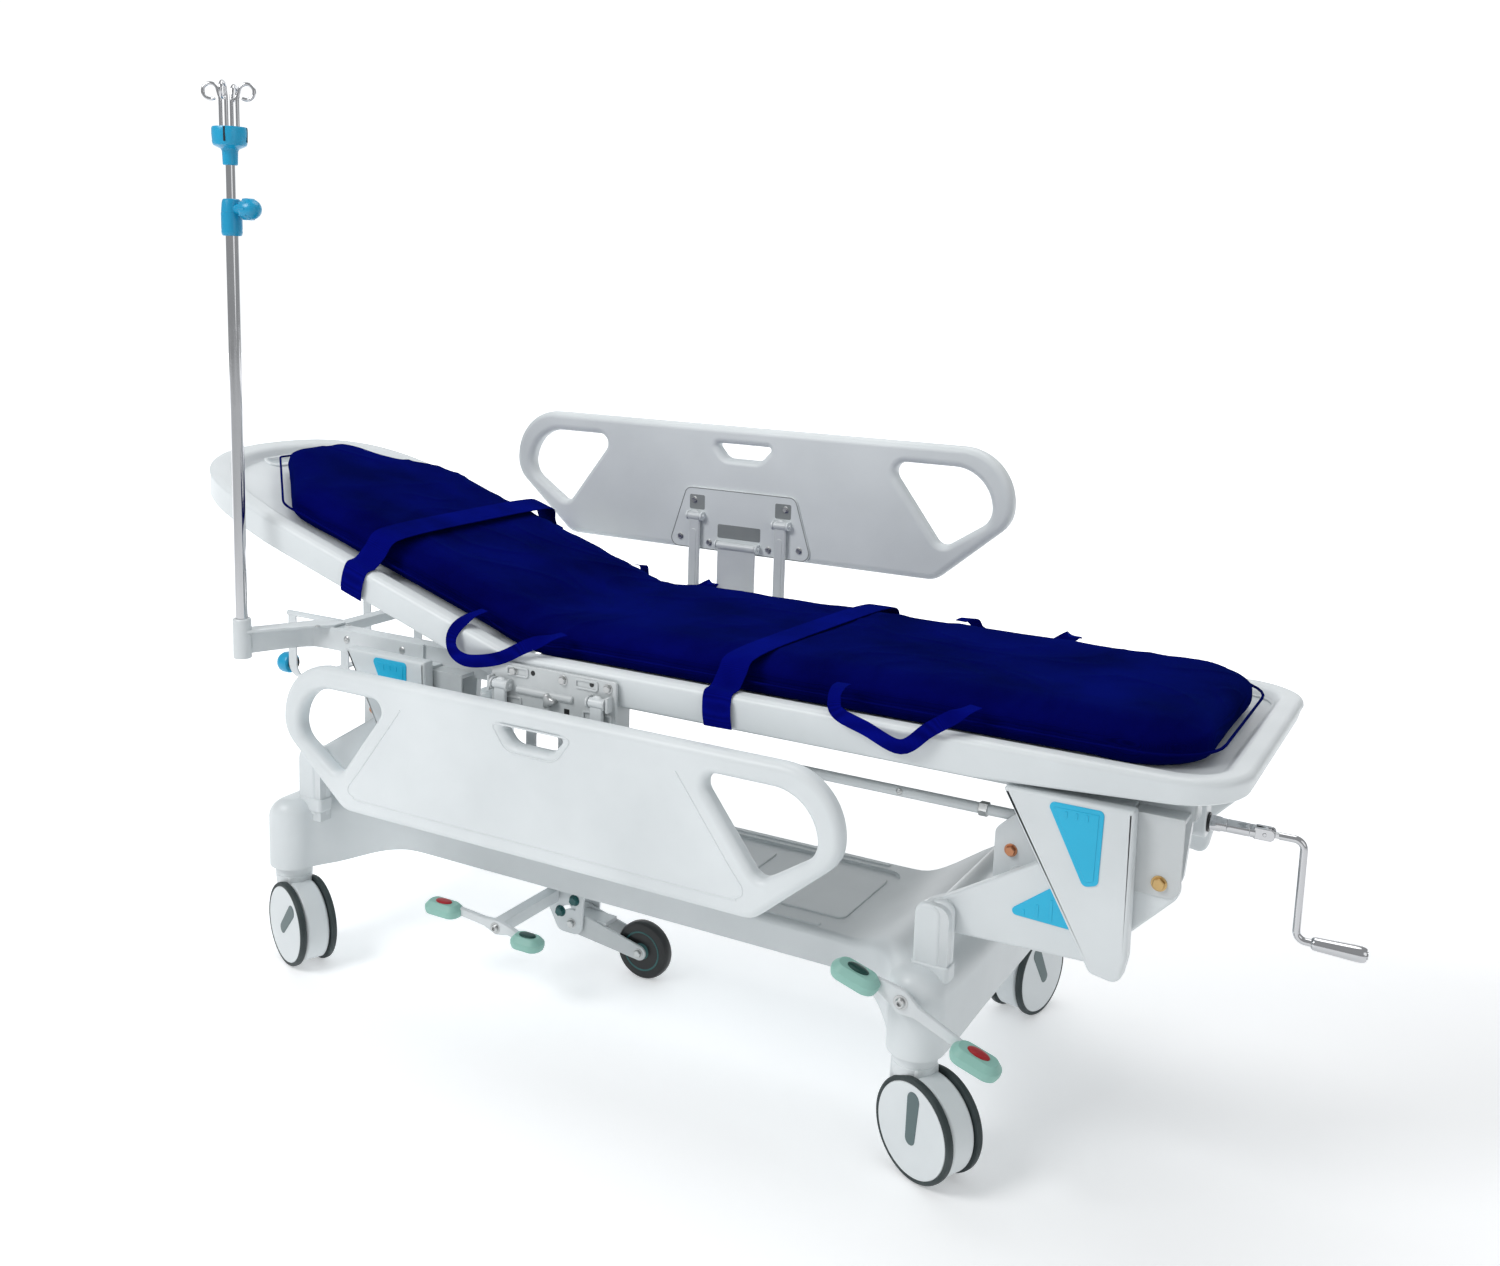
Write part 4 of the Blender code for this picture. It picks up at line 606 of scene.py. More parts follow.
def capsule(a, b, radius_a, radius_b, steps=12):
    """The outline of a plate with a round end at a and another at b."""
    a, b = Vector(a), Vector(b)
    heading = math.atan2(b.y - a.y, b.x - a.x)
    lean = math.asin((radius_a - radius_b) / (b - a).length)
    outline = []
    for centre, radius, first, last in (
        (b, radius_b, heading - math.pi / 2 + lean, heading + math.pi / 2 - lean),
        (a, radius_a, heading + math.pi / 2 - lean, heading + 3 * math.pi / 2 + lean),
    ):
        for k in range(steps + 1):
            angle = first + (last - first) * k / steps
            outline.append((centre.x + radius * math.cos(angle), centre.y + radius * math.sin(angle)))
    return outline


def circle(centre, radius, count=32):
    """A round outline."""
    turn = [2 * math.pi * k / count for k in range(count)]
    return [(centre[0] + radius * math.cos(a), centre[1] + radius * math.sin(a)) for a in turn]


def shifted(loop, right, up):
    """An outline moved to the right and up."""
    return [(a + right, b + up) for a, b in loop]


def mirrored_outline(half):
    """Closes an outline given for y > 0, from +X to -X, by repeating it for y < 0."""
    return half + [(x, -y) for x, y in reversed(half) if abs(y) > 1e-6]


def stack(outlines, heights):
    """A closed skin through outlines of as many points each, one at each height, with both ends filled."""
    bm = bmesh.new()
    rings = [[bm.verts.new((x, y, z)) for x, y in loop] for loop, z in zip(outlines, heights)]
    for a, b in zip(rings, rings[1:]):
        for k in range(len(a)):
            m = (k + 1) % len(a)
            bm.faces.new((a[k], a[m], b[m], b[k]))
    for ring in (rings[0], rings[-1]):
        for triangle in tessellate_polygon([[vert.co for vert in ring]]):
            bm.faces.new([ring[i] for i in triangle])
    return to_mesh(bm)


def rim(outline, section, height=None):
    """A bar along an open outline: outline(inset) gives points, section is a closed list of (inset, z)."""
    bm = bmesh.new()
    rows = []
    for inset, z in section:
        rows.append([bm.verts.new((x, y, height(x, z) if height else z)) for x, y in outline(inset)])
    count = len(rows)
    for j in range(count):
        a, b = rows[j], rows[(j + 1) % count]
        for k in range(len(a) - 1):
            bm.faces.new((a[k], a[k + 1], b[k + 1], b[k]))
    bm.faces.new([row[0] for row in rows])
    bm.faces.new([row[-1] for row in rows])
    return to_mesh(bm)


def shape_combined(operation, first, *others):
    """One skin from several meshes, joined to or cut from the first."""
    scene = bpy.context.scene.collection
    target = bpy.data.objects.new("target", first)
    scene.objects.link(target)
    helpers = []
    for mesh in others:
        helper = bpy.data.objects.new("helper", mesh)
        scene.objects.link(helper)
        helpers.append(helper)
        boolean = target.modifiers.new("shape", "BOOLEAN")
        boolean.operation = operation
        boolean.solver = "EXACT"
        boolean.object = helper
    graph = bpy.context.evaluated_depsgraph_get()
    made = bpy.data.meshes.new_from_object(target.evaluated_get(graph))
    for helper in [*helpers, target]:
        bpy.data.objects.remove(helper, do_unlink=True)
    return made


# ---------------------------------------------------------------- pieces
def show(name, mesh, finish, body, replaced=(), smooth=35):
    """Makes a mesh a visible piece on a CAD body."""
    obj = bpy.data.objects.new(name, mesh)
    mesh.name = name
    mesh.materials.clear()
    mesh.materials.append(finish)
    bpy.context.scene.collection.objects.link(obj)
    mesh.shade_smooth()
    mesh.set_sharp_from_angle(angle=math.radians(smooth))
    weighted = obj.modifiers.new("normals", "WEIGHTED_NORMAL")
    weighted.keep_sharp = True
    graph = bpy.context.evaluated_depsgraph_get()
    made = bpy.data.meshes.new_from_object(obj.evaluated_get(graph))
    obj.modifiers.clear()
    obj.data = made
    bpy.data.meshes.remove(mesh)
    made.name = name
    if body is not None:
        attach(obj, body)
    if replaced:
        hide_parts(*replaced)
    return obj


def hex_bolt(centre, direction, across, height, washer=1.45):
    """A hexagon head on a washer."""
    radius = across / 2 / math.cos(math.pi / 6)
    ring = lathe([(-0.0005, across * washer / 2), (0.0009, across * washer / 2),
                  (0.0013, across * washer / 2 - 0.0006), (0.0013, 0)], centre, direction, 24)
    profile = [(0, radius), (height * 0.8, radius), (height, radius * 0.86), (height * 0.97, radius * 0.5),
               (height * 0.97, 0)]
    return joined(ring, lathe(profile, Vector(centre) + Vector(direction).normalized() * 0.0012, direction,
                              6, 0.3))


def socket_screw(centre, direction, radius, height):
    """A round head with a hexagon socket."""
    head = lathe([(-0.0005, radius), (height * 0.7, radius), (height, radius * 0.8), (height, radius * 0.5),
                  (height * 0.35, radius * 0.45), (height * 0.35, 0)], centre, direction, 24)
    return joined(head, lathe([(-0.0004, radius * 1.5), (0.0006, radius * 1.5), (0.0009, radius * 1.4),
                               (0.0009, 0)], centre, direction, 24))


def pan_screw(centre, direction, radius):
    """A low domed screw head with a sunk middle."""
    return lathe([(-0.0004, radius), (0.0006, radius), (0.0016, radius * 0.8), (0.0021, radius * 0.45),
                  (0.0016, radius * 0.3), (0.0016, 0)], centre, direction, 20)


# ---------------------------------------------------------------- base
def flare(inset, steps=14):
    """The concave side of the base, from its straight middle out to a leg, as (x, y) points."""
    start = (0.3948, BASE_HALF_WIDTH - inset)
    end = (LEG_X - LEG_RADIUS + inset, LEG_Y)
    points = []
    for k in range(steps + 1):
        t = k / steps
        points.append((start[0] + (end[0] - start[0]) * t, start[1] + (end[1] - start[1]) * t**2.6))
    return points


def leg_arc(inset, steps=16):
    """The round end of the base around a leg, as (x, y) points."""
    radius = LEG_RADIUS - inset
    angles = [math.pi * (1 - k / steps) for k in range(1, steps + 1)]
    return [(LEG_X + radius * math.cos(a), LEG_Y + radius * math.sin(a)) for a in angles]


def quarter_outline(inset):
    """A quarter of the base in plan, from the middle of its side to its end."""
    return flare(inset) + leg_arc(inset) + [(LEG_X + LEG_RADIUS - inset + 0.003, 0.22),
                                            (LEG_X + LEG_RADIUS - inset + 0.005, 0.1344)]


def base_outline(inset):
    """The whole base in plan."""
    quarter = quarter_outline(inset)
    half = list(reversed(quarter)) + [(-x, y) for x, y in quarter]
    return mirrored_outline(half)


def ease(t):
    """A step from 0 to 1 with a soft start and end."""
    t = min(1.0, max(0.0, t))
    return t * t * (3 - 2 * t)


def base_top(x):
    """The height of the moulding's top, which rises over each pair of castors."""
    x = abs(x)
    return BASE_TOP + (SHOULDER_TOP - BASE_TOP) * ease((x - 0.43) / 0.13) - 0.012 * ease((x - 0.60) / 0.05)


def base_bottom(x, y):
    """The height of its lower edge, which drops to a skirt around each leg."""
    end = ease((abs(x) - 0.43) / 0.10)
    low = BASE_BOTTOM - (BASE_BOTTOM - END_BOTTOM) * end
    return low - (low - LEG_BOTTOM) * ease((abs(y) - 0.17) / 0.08) * end


def base_skin():
    """The moulding's outside: rings up its wall, a soft shoulder, and rungs across its top and bottom."""
    loop = oriented(base_outline(0), True)
    inwards = [Vector(moved_in) - Vector(here) for moved_in, here in zip(offset(loop, 1.0), loop)]
    bm = bmesh.new()
    rings = []

    def ring(inset, height):
        places = []
        for here, inward in zip(loop, inwards):
            x, y = Vector(here) + inward * inset(here[0])
            places.append(bm.verts.new((x, y, height(x, y, here[0]))))
        rings.append(places)

    def shoulder(x):
        return 0.012 + 0.014 * ease((abs(x) - 0.43) / 0.13)

    ring(lambda x: 0.003, lambda x, y, x0: base_bottom(x0, y))
    ring(lambda x: 0.0006, lambda x, y, x0: base_bottom(x0, y) + 0.0008)
    ring(lambda x: 0.0, lambda x, y, x0: base_bottom(x0, y) + 0.003)
    for k in range(8):
        a = math.pi / 2 * k / 7
        ring(lambda x: shoulder(x) * (1 - math.cos(a)), lambda x, y,
             x0: base_top(x) - shoulder(x0) * (1 - math.sin(a)))
    count = len(loop)
    for a, b in zip(rings, rings[1:]):
        for k in range(count):
            m = (k + 1) % count
            bm.faces.new((a[k], a[m], b[m], b[k]))
    half = count // 2
    start = next(k for k in range(count) if loop[k][0] > 0 and loop[k][1] * loop[k - 1][1] < 0)
    for lid in (rings[0], rings[-1]):
        for k in range(half - 1):
            corners = [lid[(start + i) % count] for i in (k, k + 1, -k - 2, -k - 1)]
            bm.faces.new(corners)
    return to_mesh(bm)


def round_block(x0, y0, x1, y1, z0, z1, corner, bevel):
    """An upright block whose corners in plan are round."""
    outline = rounded(box_corners(x0, x1, y0, y1, corner))
    return slab([outline], "Z", z0, z1, bevel)


def make_base():
    """The base moulding, the tray's pads, and the four lift posts."""
    tray = round_block(-0.415, -0.122, 0.415, 0.122, BASE_TOP - 0.0055, BASE_TOP + 0.02, 0.03, 0.003)
    body = shape_combined("DIFFERENCE", base_skin(), tray)
    show("base_moulding", body, WHITE, "base", ["base_cover"])

    beads = []
    for x in (-0.31, -0.1, 0.1, 0.31):
        beads.append(round_block(x - 0.088, -0.092, x + 0.088, 0.092, BASE_TOP - 0.0085, BASE_TOP - 0.0032,
                                 0.014, 0.0018))
    for y in (-0.138, 0.138):
        beads.append(round_block(-0.38, y - 0.006, 0.38, y + 0.006, BASE_TOP - 0.003, BASE_TOP + 0.0022,
                                 0.005, 0.0018))
    show("base_tray_pads", joined(*beads), WHITE, "base")

    parts = []
    for px in (ARM_PIVOT_FOOT_X, ARM_PIVOT_FOOT_X + HEAD_SHIFT):
        for side in (-1, 1):
            for x0, x1, top, low, high in ((-0.0262, 0.0136, 0.3895, 0.2655, 0.2795),
                                           (-0.012, 0.0262, 0.3915, 0.2505, 0.2665)):
                outline = rounded([(px + x0, 0.27, 0), (px + x1, 0.27, 0), (px + x1, top, 0.0175),
                                   (px + x0, top, 0.0175)], 8)
                parts.append(slab([outline], "Y", side * low, side * high, 0.0062, 5))
            foot = [(px - 0.0285, 0.2475, 0.008), (px + 0.0285, 0.2475, 0.008),
                    (px + 0.0285, 0.2815, 0.008), (px - 0.0285, 0.2815, 0.008)]
            outline = [(x, side * y) for x, y in rounded(foot, 6)]
            parts.append(slab([outline], "Z", SHOULDER_TOP - 0.02, SHOULDER_TOP + 0.004, 0.003))
    show("lift_posts", joined(*parts), WHITE, "base")


# ---------------------------------------------------------------- castors
# how far each castor's wheel has rolled, in degrees, seen in the mark on its disc
INSERT_TURNS = {"foot_near": 3.0, "foot_far": 30.0, "head_near": 42.0, "head_far": 15.0}


def castor_place(name):
    """Where a castor stands and which way it has swivelled."""
    end, side, swivel = CASTORS[name]
    return placed((end * LEG_X, side * LEG_Y, 0), swivel)


def hood_outline():
    """The hood between the discs: round above, open and cut level near the floor."""
    radius, low = WHEEL_RADIUS - 0.0034, 0.021
    reach = math.acos((WHEEL_RADIUS - low) / radius)
    first, last = -math.pi / 2 + reach, 1.5 * math.pi - reach
    return [(CASTOR_TRAIL + radius * math.cos(first + (last - first) * k / 60),
             WHEEL_RADIUS + radius * math.sin(first + (last - first) * k / 60)) for k in range(61)]


def make_castor(name):
    """One castor: its hood and stem, and its wheel of two discs and tyres."""
    place = castor_place(name)
    hood = slab([hood_outline()], "Y", -HOOD_HALF_WIDTH, HOOD_HALF_WIDTH, 0.0075, 5)
    neck = lathe([(0.118, 0.022), (0.128, 0.0288), (0.144, 0.0312), (0.1565, 0.0322), (0.1575, 0.0312),
                  (0.1585, 0.0322), (0.169, 0.0326), (0.1722, 0.0318)], (0, 0, 0), (0, 0, 1), 48)
    throat = slab([rounded([(-0.03, 0.112, 0.004), (0.03, 0.112, 0.004), (0.028, 0.158, 0.004),
                            (-0.028, 0.158, 0.004)])], "Y", -HOOD_HALF_WIDTH, HOOD_HALF_WIDTH, 0.004)
    show(f"castor_{name}_hood", moved(joined(hood, neck, throat), place), WHITE, f"castor_{name}",
         [f"castor_{name}_fork"])
    ring = lathe([(0.1712, 0.0245), (0.1726, 0.0245), (0.1732, 0.0)], (0, 0, 0), (0, 0, 1), 32)
    show(f"castor_{name}_collar", moved(ring, place), ZINC, f"castor_{name}")

    tyres, discs, inserts = [], [], []
    axle = Vector((CASTOR_TRAIL, 0, WHEEL_RADIUS))
    inner, outer = HOOD_HALF_WIDTH + 0.0008, WHEEL_HALF_WIDTH
    for side in (-1, 1):
        out = (0, side, 0)
        tread = [(inner, 0.052), (inner, 0.0725), (inner + 0.0014, 0.0746), (inner + 0.004, 0.075),
                 (outer - 0.0036, 0.0748), (outer - 0.0014, 0.0735), (outer - 0.0002, 0.0712),
                 (outer - 0.0004, 0.0684), (outer - 0.002, 0.0678), (outer - 0.002, 0.05)]
        tyres.append(lathe(tread, axle, out, 96))
        face = [(inner + 0.0005, 0.02), (inner + 0.0005, 0.068), (outer - 0.0014, 0.068),
                (outer - 0.0004, 0.0672), (outer - 0.0002, 0.066), (outer - 0.0002, 0.03),
                (outer - 0.0002, 0.0)]
        discs.append(lathe(face, axle, out, 96))
        pill = capsule((CASTOR_TRAIL, WHEEL_RADIUS + 0.0468), (CASTOR_TRAIL, WHEEL_RADIUS - 0.012), 0.0118,
                       0.0095, 14)
        inserts.append(slab([pill], "Y", side * (outer - 0.003), side * (outer + 0.0007), 0.0007, 2))
    turn = INSERT_TURNS[name]
    roll = placed(axle, turn, "Y") @ Matrix.Translation(-axle)
    body = f"castor_{name}_wheel"
    show(f"castor_{name}_tyres", moved(joined(*tyres), place), TYRE, body, [body])
    show(f"castor_{name}_discs", moved(joined(*discs), place), SHELL, body)
    show(f"castor_{name}_inserts", moved(joined(*inserts), place @ roll), GREY, body)


# ---------------------------------------------------------------- fifth wheel and pedals
def make_fifth_wheel():
    """The small steering wheel in the middle, with its fork and bracket."""
    px, pz = FIFTH_PIVOT
    ax, az = FIFTH_AXLE
    x0, x1, top = px - 0.0554, px + 0.0286, 0.2054
    plate = rounded([(x0, top, 0), (x0, 0.1058, 0.0168), (px - 0.0285, 0.0571, 0.0185),
                     (px + 0.0219, 0.0571, 0.0185), (x1, top, 0)])
    turns = [2.6 - 0.16 * k for k in range(9)]
    middle = [(px + 0.030 * math.cos(a), pz + 0.030 * math.sin(a)) for a in turns]

    def slot_edge(width):
        return [(x + width * math.cos(a), z + width * math.sin(a)) for (x, z), a in zip(middle, turns)]

    slot = slot_edge(0.0036) + slot_edge(-0.0036)[::-1]
    parts = [block((x0, FIFTH_Y - 0.0277, top - 0.0055), (x1, FIFTH_Y + 0.0277, top + 0.0004), 0.001)]
    for side in (-1, 1):
        parts.append(slab([plate, slot], "Y", FIFTH_Y + side * 0.0239, FIFTH_Y + side * 0.029, 0.0012))
    show("fifth_wheel_plates", joined(*parts), PAINT, "base", ["fifth_wheel_bracket"])
    face = FIFTH_Y - 0.029
    spots = ((-0.036, 0.149), (-0.024, 0.0955), (0.006, 0.1225))
    bolts = [hex_bolt((px + x, face, z), (0, -1, 0), 0.0145, 0.007) for x, z in spots]
    show("fifth_wheel_plate_bolts", joined(*bolts), HUB, "base")

    cheek = capsule((px, pz), (ax, az), 0.0218, 0.0134)
    parts = [block((px + 0.0017, FIFTH_Y - 0.0176, pz + 0.005),
                   (px + 0.0672, FIFTH_Y + 0.0176, pz + 0.0134), 0.0012)]
    for side in (-1, 1):
        parts.append(slab([cheek], "Y", FIFTH_Y + side * 0.0164, FIFTH_Y + side * 0.0214, 0.0014))
    parts.append(rod((px, FIFTH_Y - 0.0286, pz), (px, FIFTH_Y + 0.0286, pz), 0.005))
    show("fifth_wheel_arms", joined(*parts), CAST, "fifth_wheel_fork",
         ["fifth_wheel_fork"])
    bolts = [hex_bolt((ax, FIFTH_Y + side * 0.0212, az), (0, side, 0), 0.0125, 0.0055) for side in (-1, 1)]
    bolts.append(hex_bolt((px, FIFTH_Y - 0.0292, pz), (0, -1, 0), 0.0125, 0.0055))
    show("fifth_wheel_arm_bolts", joined(*bolts), ZINC, "fifth_wheel_fork")

    radius = FIFTH_WHEEL_RADIUS
    half = [(0.0, radius), (0.004, radius - 0.0002), (0.0075, radius - 0.001), (0.0102, radius - 0.0032),
            (0.0113, radius - 0.0075), (0.0113, 0.036)]
    tyre = lathe([(-y, r) for y, r in reversed(half[1:])] + half, (ax, FIFTH_Y, az), (0, 1, 0), 72)
    show("fifth_wheel_tyre", tyre, BLACK, "fifth_wheel", ["fifth_wheel"])
    half = [(0.0118, 0.0362), (0.0118, 0.034), (0.0095, 0.031), (0.0085, 0.018), (0.0125, 0.0135),
            (0.0145, 0.0115), (0.0145, 0.0)]
    hub = lathe([(-y, r) for y, r in reversed(half)] + half, (ax, FIFTH_Y, az), (0, 1, 0), 56)
    show("fifth_wheel_hub", hub, HUB, "fifth_wheel")


def pedal_parts(x, z, y_out, y_in, half=0.0361):
    """A foot pad with a bevelled top and an oval button, as (pad, button) meshes."""
    radius = 0.45 * abs(y_in - y_out)
    corners = [(x - half, y_out, radius), (x + half, y_out, radius), (x + half, y_in, radius),
               (x - half, y_in, radius)]
    outline = rounded(corners, 10)
    steps = [(z - 0.0109, 0.0035), (z - 0.0102, 0.0022), (z - 0.004, 0.0), (z + 0.0018, 0.0),
             (z + 0.0030, 0.0006), (z + 0.0096, 0.0066), (z + 0.0109, 0.0080)]
    pad = stack([offset(oriented(outline, True), inset) for _, inset in steps],
                [height for height, _ in steps])
    middle = (y_out + y_in) / 2
    oval = [(x + 0.0165 * math.cos(a), middle + 0.0098 * math.sin(a))
            for a in (2 * math.pi * k / 32 for k in range(32))]
    steps = [(z + 0.008, 0.0), (z + 0.0118, 0.0002), (z + 0.0132, 0.0016), (z + 0.0138, 0.0042)]
    button = stack([offset(oval, inset) for _, inset in steps], [height for height, _ in steps])
    return pad, button


def make_pedal(body, origin, tilt, lever, lever_y, pads, shaft, bolt, buttons):
    """A pedal: its lever, pads and buttons, shaft and bolt."""
    place = placed(origin, tilt, "Y")
    bar = slab([rounded(lever, 8)], "Y", *lever_y, 0.0022, 3)
    show(f"{body}_lever", moved(joined(bar, *shaft), place), PAINT, body, [body])
    made = [pedal_parts(*pad) for pad in pads]
    show(f"{body}_pads", moved(joined(*(pad for pad, _ in made)), place), TEAL, body)
    for (_, button), (colour, finish) in zip(made, buttons.items()):
        show(f"{body}_{colour}_button", moved(button, place), finish, body)
    show(f"{body}_bolt", moved(bolt, place), ZINC, body)


def make_pedals():
    """The brake pedal at the foot corner and the steering pedal at the middle."""
    px, pz = CORNER_PEDAL
    lever = [(-0.0504, 0.0, 0), (-0.0168, -0.0101, 0.0084), (0, -0.0185, 0.0101), (0.0252, -0.0118, 0.0084),
             (0.0966, -0.0185, 0), (0.0966, -0.0034, 0), (0.0252, 0.0067, 0.0101), (0.0, 0.0185, 0.0101),
             (-0.0252, 0.0168, 0.0084), (-0.0504, 0.0134, 0)]
    shaft = [rod((0, -0.3335, 0), (0, -0.2898, 0), 0.0071)]
    make_pedal("corner_pedal", (px, 0, pz), CORNER_PEDAL_TILT, lever, (-0.3402, -0.3326),
               [(-0.0689, 0.0067, -0.3713, -0.3276), (0.1226, -0.0101, -0.3713, -0.3276)], shaft,
               socket_screw((0, -0.3402, 0), (0, -1, 0), 0.0072, 0.0055), {"green": GREEN, "red": RED})
    cx, cz = CENTRE_SHAFT
    lever = [(-0.0924, 0.005, 0), (-0.0252, -0.0017, 0.0084), (0, -0.0118, 0.0101),
             (0.0252, -0.0067, 0.0084), (0.0462, -0.0101, 0), (0.0462, 0.0034, 0), (0.0168, 0.0118, 0.0084),
             (0, 0.0151, 0.0101), (-0.0252, 0.0134, 0.0084), (-0.0924, 0.0185, 0)]
    shaft = [block((-0.0118, -0.2108, -0.0109), (0.0118, -0.0504, 0.0118), 0.0022),
             rod((0, -0.0512, 0), (0, -0.0336, 0), 0.0072)]
    make_pedal("centre_pedal", (cx, 0, cz), 0.0, lever, (-0.2201, -0.21),
               [(-0.1109, 0.0118, -0.2419, -0.2016), (0.0697, -0.005, -0.2419, -0.2016, 0.0302)], shaft,
               socket_screw((0, -0.2201, 0.001), (0, -1, 0), 0.0066, 0.005), {"red": RED, "green": GREEN})


# ---------------------------------------------------------------- lift arms, panels and tie rod
def arm_outline(px):
    """The outline of one lift arm, whose pivot is at px."""
    tip = (px + ARM_RUN, TIP_Z)
    corners = [
        (px - 0.0252, ARM_PIVOT_Z - 0.0218, 0.0134),
        (px + 0.2184, ARM_PIVOT_Z - 0.0143, 0.0168),
        (px + 0.2562, ARM_PIVOT_Z + 0.0336, 0.0252),
        (tip[0] + 0.0252, tip[1] - 0.0168, 0.0202),
        (tip[0] + 0.0218, tip[1] + 0.0252, 0.0185),
        (px + 0.1974, ARM_PIVOT_Z + 0.1478, 0.0504),
        (px + 0.0042, ARM_PIVOT_Z + 0.0286, 0.0252),
        (px - 0.0252, ARM_PIVOT_Z + 0.0168, 0.0118),
    ]
    return rounded(corners, 6)


def make_yoke(name, px):
    """A pair of lift arms with their shafts and lever plate."""
    tip_x, tip_z = px + ARM_RUN, TIP_Z
    cover, steel = [], []
    for side in (-1, 1):
        cover.append(slab([arm_outline(px)], "Y", side * ARM_INNER_Y, side * ARM_OUTER_Y, 0.005, 4))
        steel.append(rod((px, side * (ARM_OUTER_Y - 0.0017), ARM_PIVOT_Z),
                         (px, side * (PANEL_OUTER_Y - 0.0008), ARM_PIVOT_Z), 0.0067))
        steel.append(rod((tip_x, side * (ARM_INNER_Y + 0.0017), tip_z),
                         (tip_x, side * (FRAME_INNER_Y + 0.0076), tip_z), 0.0067))
    tube_y = ARM_INNER_Y + 0.0017
    steel.append(rod((px, -tube_y, ARM_PIVOT_Z), (px, tube_y, ARM_PIVOT_Z), 0.016))
    boss_x, boss_z = px + LEVER_BOSS[0], ARM_PIVOT_Z + LEVER_BOSS[1]
    tie_x, tie_z = px + TIE_OFFSET[0], ARM_PIVOT_Z + TIE_OFFSET[1]
    steel.append(rod((boss_x, -0.2268, boss_z), (boss_x, -0.1915, boss_z), 0.0118))
    lever = [(px + 0.0565, 0.41, 0.006), (px + 0.1225, 0.41, 0.006), (px + 0.1165, 0.5185, 0.0135),
             (px + 0.09, 0.5185, 0.0135), (px + 0.0565, 0.487, 0.016)]
    steel.append(slab([rounded(lever)], "Y", -0.1973, -0.19, 0.001))
    steel.append(rod((tie_x, -0.1915, tie_z), (tie_x, -0.1684, tie_z), 0.005))
    show(f"{name}_arms", joined(*cover), WHITE, name, [name])
    show(f"{name}_shafts", joined(*steel), PAINT, name)
    bolt = hex_bolt((px + 0.081, -0.1973, 0.4597), (0, -1, 0), 0.013, 0.006)
    show(f"{name}_bolt", bolt, COPPER, name)
    inserts = []
    for side in (-1, 1):
        wedge = rounded([(px + 0.0935, 0.3915, 0.006), (px + 0.1633, 0.4465, 0.008),
                         (px + 0.196, 0.3875, 0.008)], 5)
        inserts.append(slab([wedge], "Y", side * (ARM_OUTER_Y - 0.002), side * (ARM_OUTER_Y + 0.0016),
                            0.001))
        for k in range(3):
            x = px + 0.118 + 0.019 * k
            inserts.append(side_block(side, x, x + 0.004, ARM_OUTER_Y, ARM_OUTER_Y + 0.0022, 0.3935,
                                      0.402 + 0.011 * k, 0.0006))
    show(f"{name}_inserts", joined(*inserts), CYAN, name)


def make_lift():
    """Both yokes, the tie rod between them, and the four side panels."""
    make_yoke("foot_lift_yoke", ARM_PIVOT_FOOT_X)
    make_yoke("head_lift_yoke", ARM_PIVOT_FOOT_X + HEAD_SHIFT)
    z = ARM_PIVOT_Z + TIE_OFFSET[1]
    right, left = ARM_PIVOT_FOOT_X + TIE_OFFSET[0], ARM_PIVOT_FOOT_X + HEAD_SHIFT + TIE_OFFSET[0]
    parts = [rod((left + 0.01, TIE_ROD_Y, z), (right - 0.01, TIE_ROD_Y, z), 0.008, 0.001, 32)]
    for x in (left, right):
        parts.append(slab([circle((x, z), 0.0125, 40), circle((x, z), 0.0055, 24)], "Y", -0.1869, -0.1693,
                          0.0014))
    show("tie_rod_bar", joined(*parts), PAINT, "tie_rod", ["tie_rod"])
    nuts = []
    for x in (left + 0.055, right - 0.075):
        nuts.append(lathe([(0, 0.0098), (0.001, 0.0108), (0.013, 0.0108), (0.014, 0.0098)],
                          (x, TIE_ROD_Y, z), (1, 0, 0), 6))
    nuts.append(pan_screw((right - 0.195, -0.1861, z + 0.002), (0, -1, 0), 0.005))
    show("tie_rod_nuts", joined(*nuts), ZINC, "tie_rod")

    for end, shift in (("foot", 0.0), ("head", HEAD_SHIFT)):
        top = PANEL_TOP[end]
        high = top - 0.0068
        for side, name in ((-1, "near"), (1, "far")):
            outline = rounded([(0.7014 + shift, top, 0.0034), (0.8333 + shift, 0.3461, 0.0134),
                               (0.8736 + shift, 0.3394, 0.0151), (0.8812 + shift, 0.378, 0.0168),
                               (0.8778 + shift, top, 0.0034)], 8)
            flange = side_block(side, 0.714 + shift, 0.8694 + shift, FRAME_OUTER_Y + 0.0004,
                                PANEL_INNER_Y + 0.0017, 0.5628, 0.5758, 0.0015)
            panel = joined(slab([outline], "Y", side * PANEL_INNER_Y, side * PANEL_OUTER_Y, 0.0055, 4),
                           flange)
            show(f"{end}_{name}_lift_panel", panel, WHITE, "upper_frame",
                 [f"{end}_lift_panel_{name}"])
            wedge = rounded([(0.7634 + shift, high, 0.007), (0.8401 + shift, high, 0.007),
                             (0.8381 + shift, 0.4701, 0.008), (0.8187 + shift, 0.464, 0.008)], 6)
            face = side * PANEL_OUTER_Y
            insert = [slab([wedge], "Y", face - side * 0.002, face + side * 0.0017, 0.0011)]
            inner = offset(oriented(wedge, True), 0.006)
            insert.append(slab([inner], "Y", face + side * 0.0005, face + side * 0.0026, 0.001))
            for k in range(3):
                x = 0.789 + 0.014 * k + shift
                insert.append(side_block(side, x, x + 0.0035, PANEL_OUTER_Y, PANEL_OUTER_Y + 0.0034,
                                         high - 0.0175, high - 0.009, 0.0005))
            show(f"{end}_{name}_panel_insert", joined(*insert), CYAN, "upper_frame")


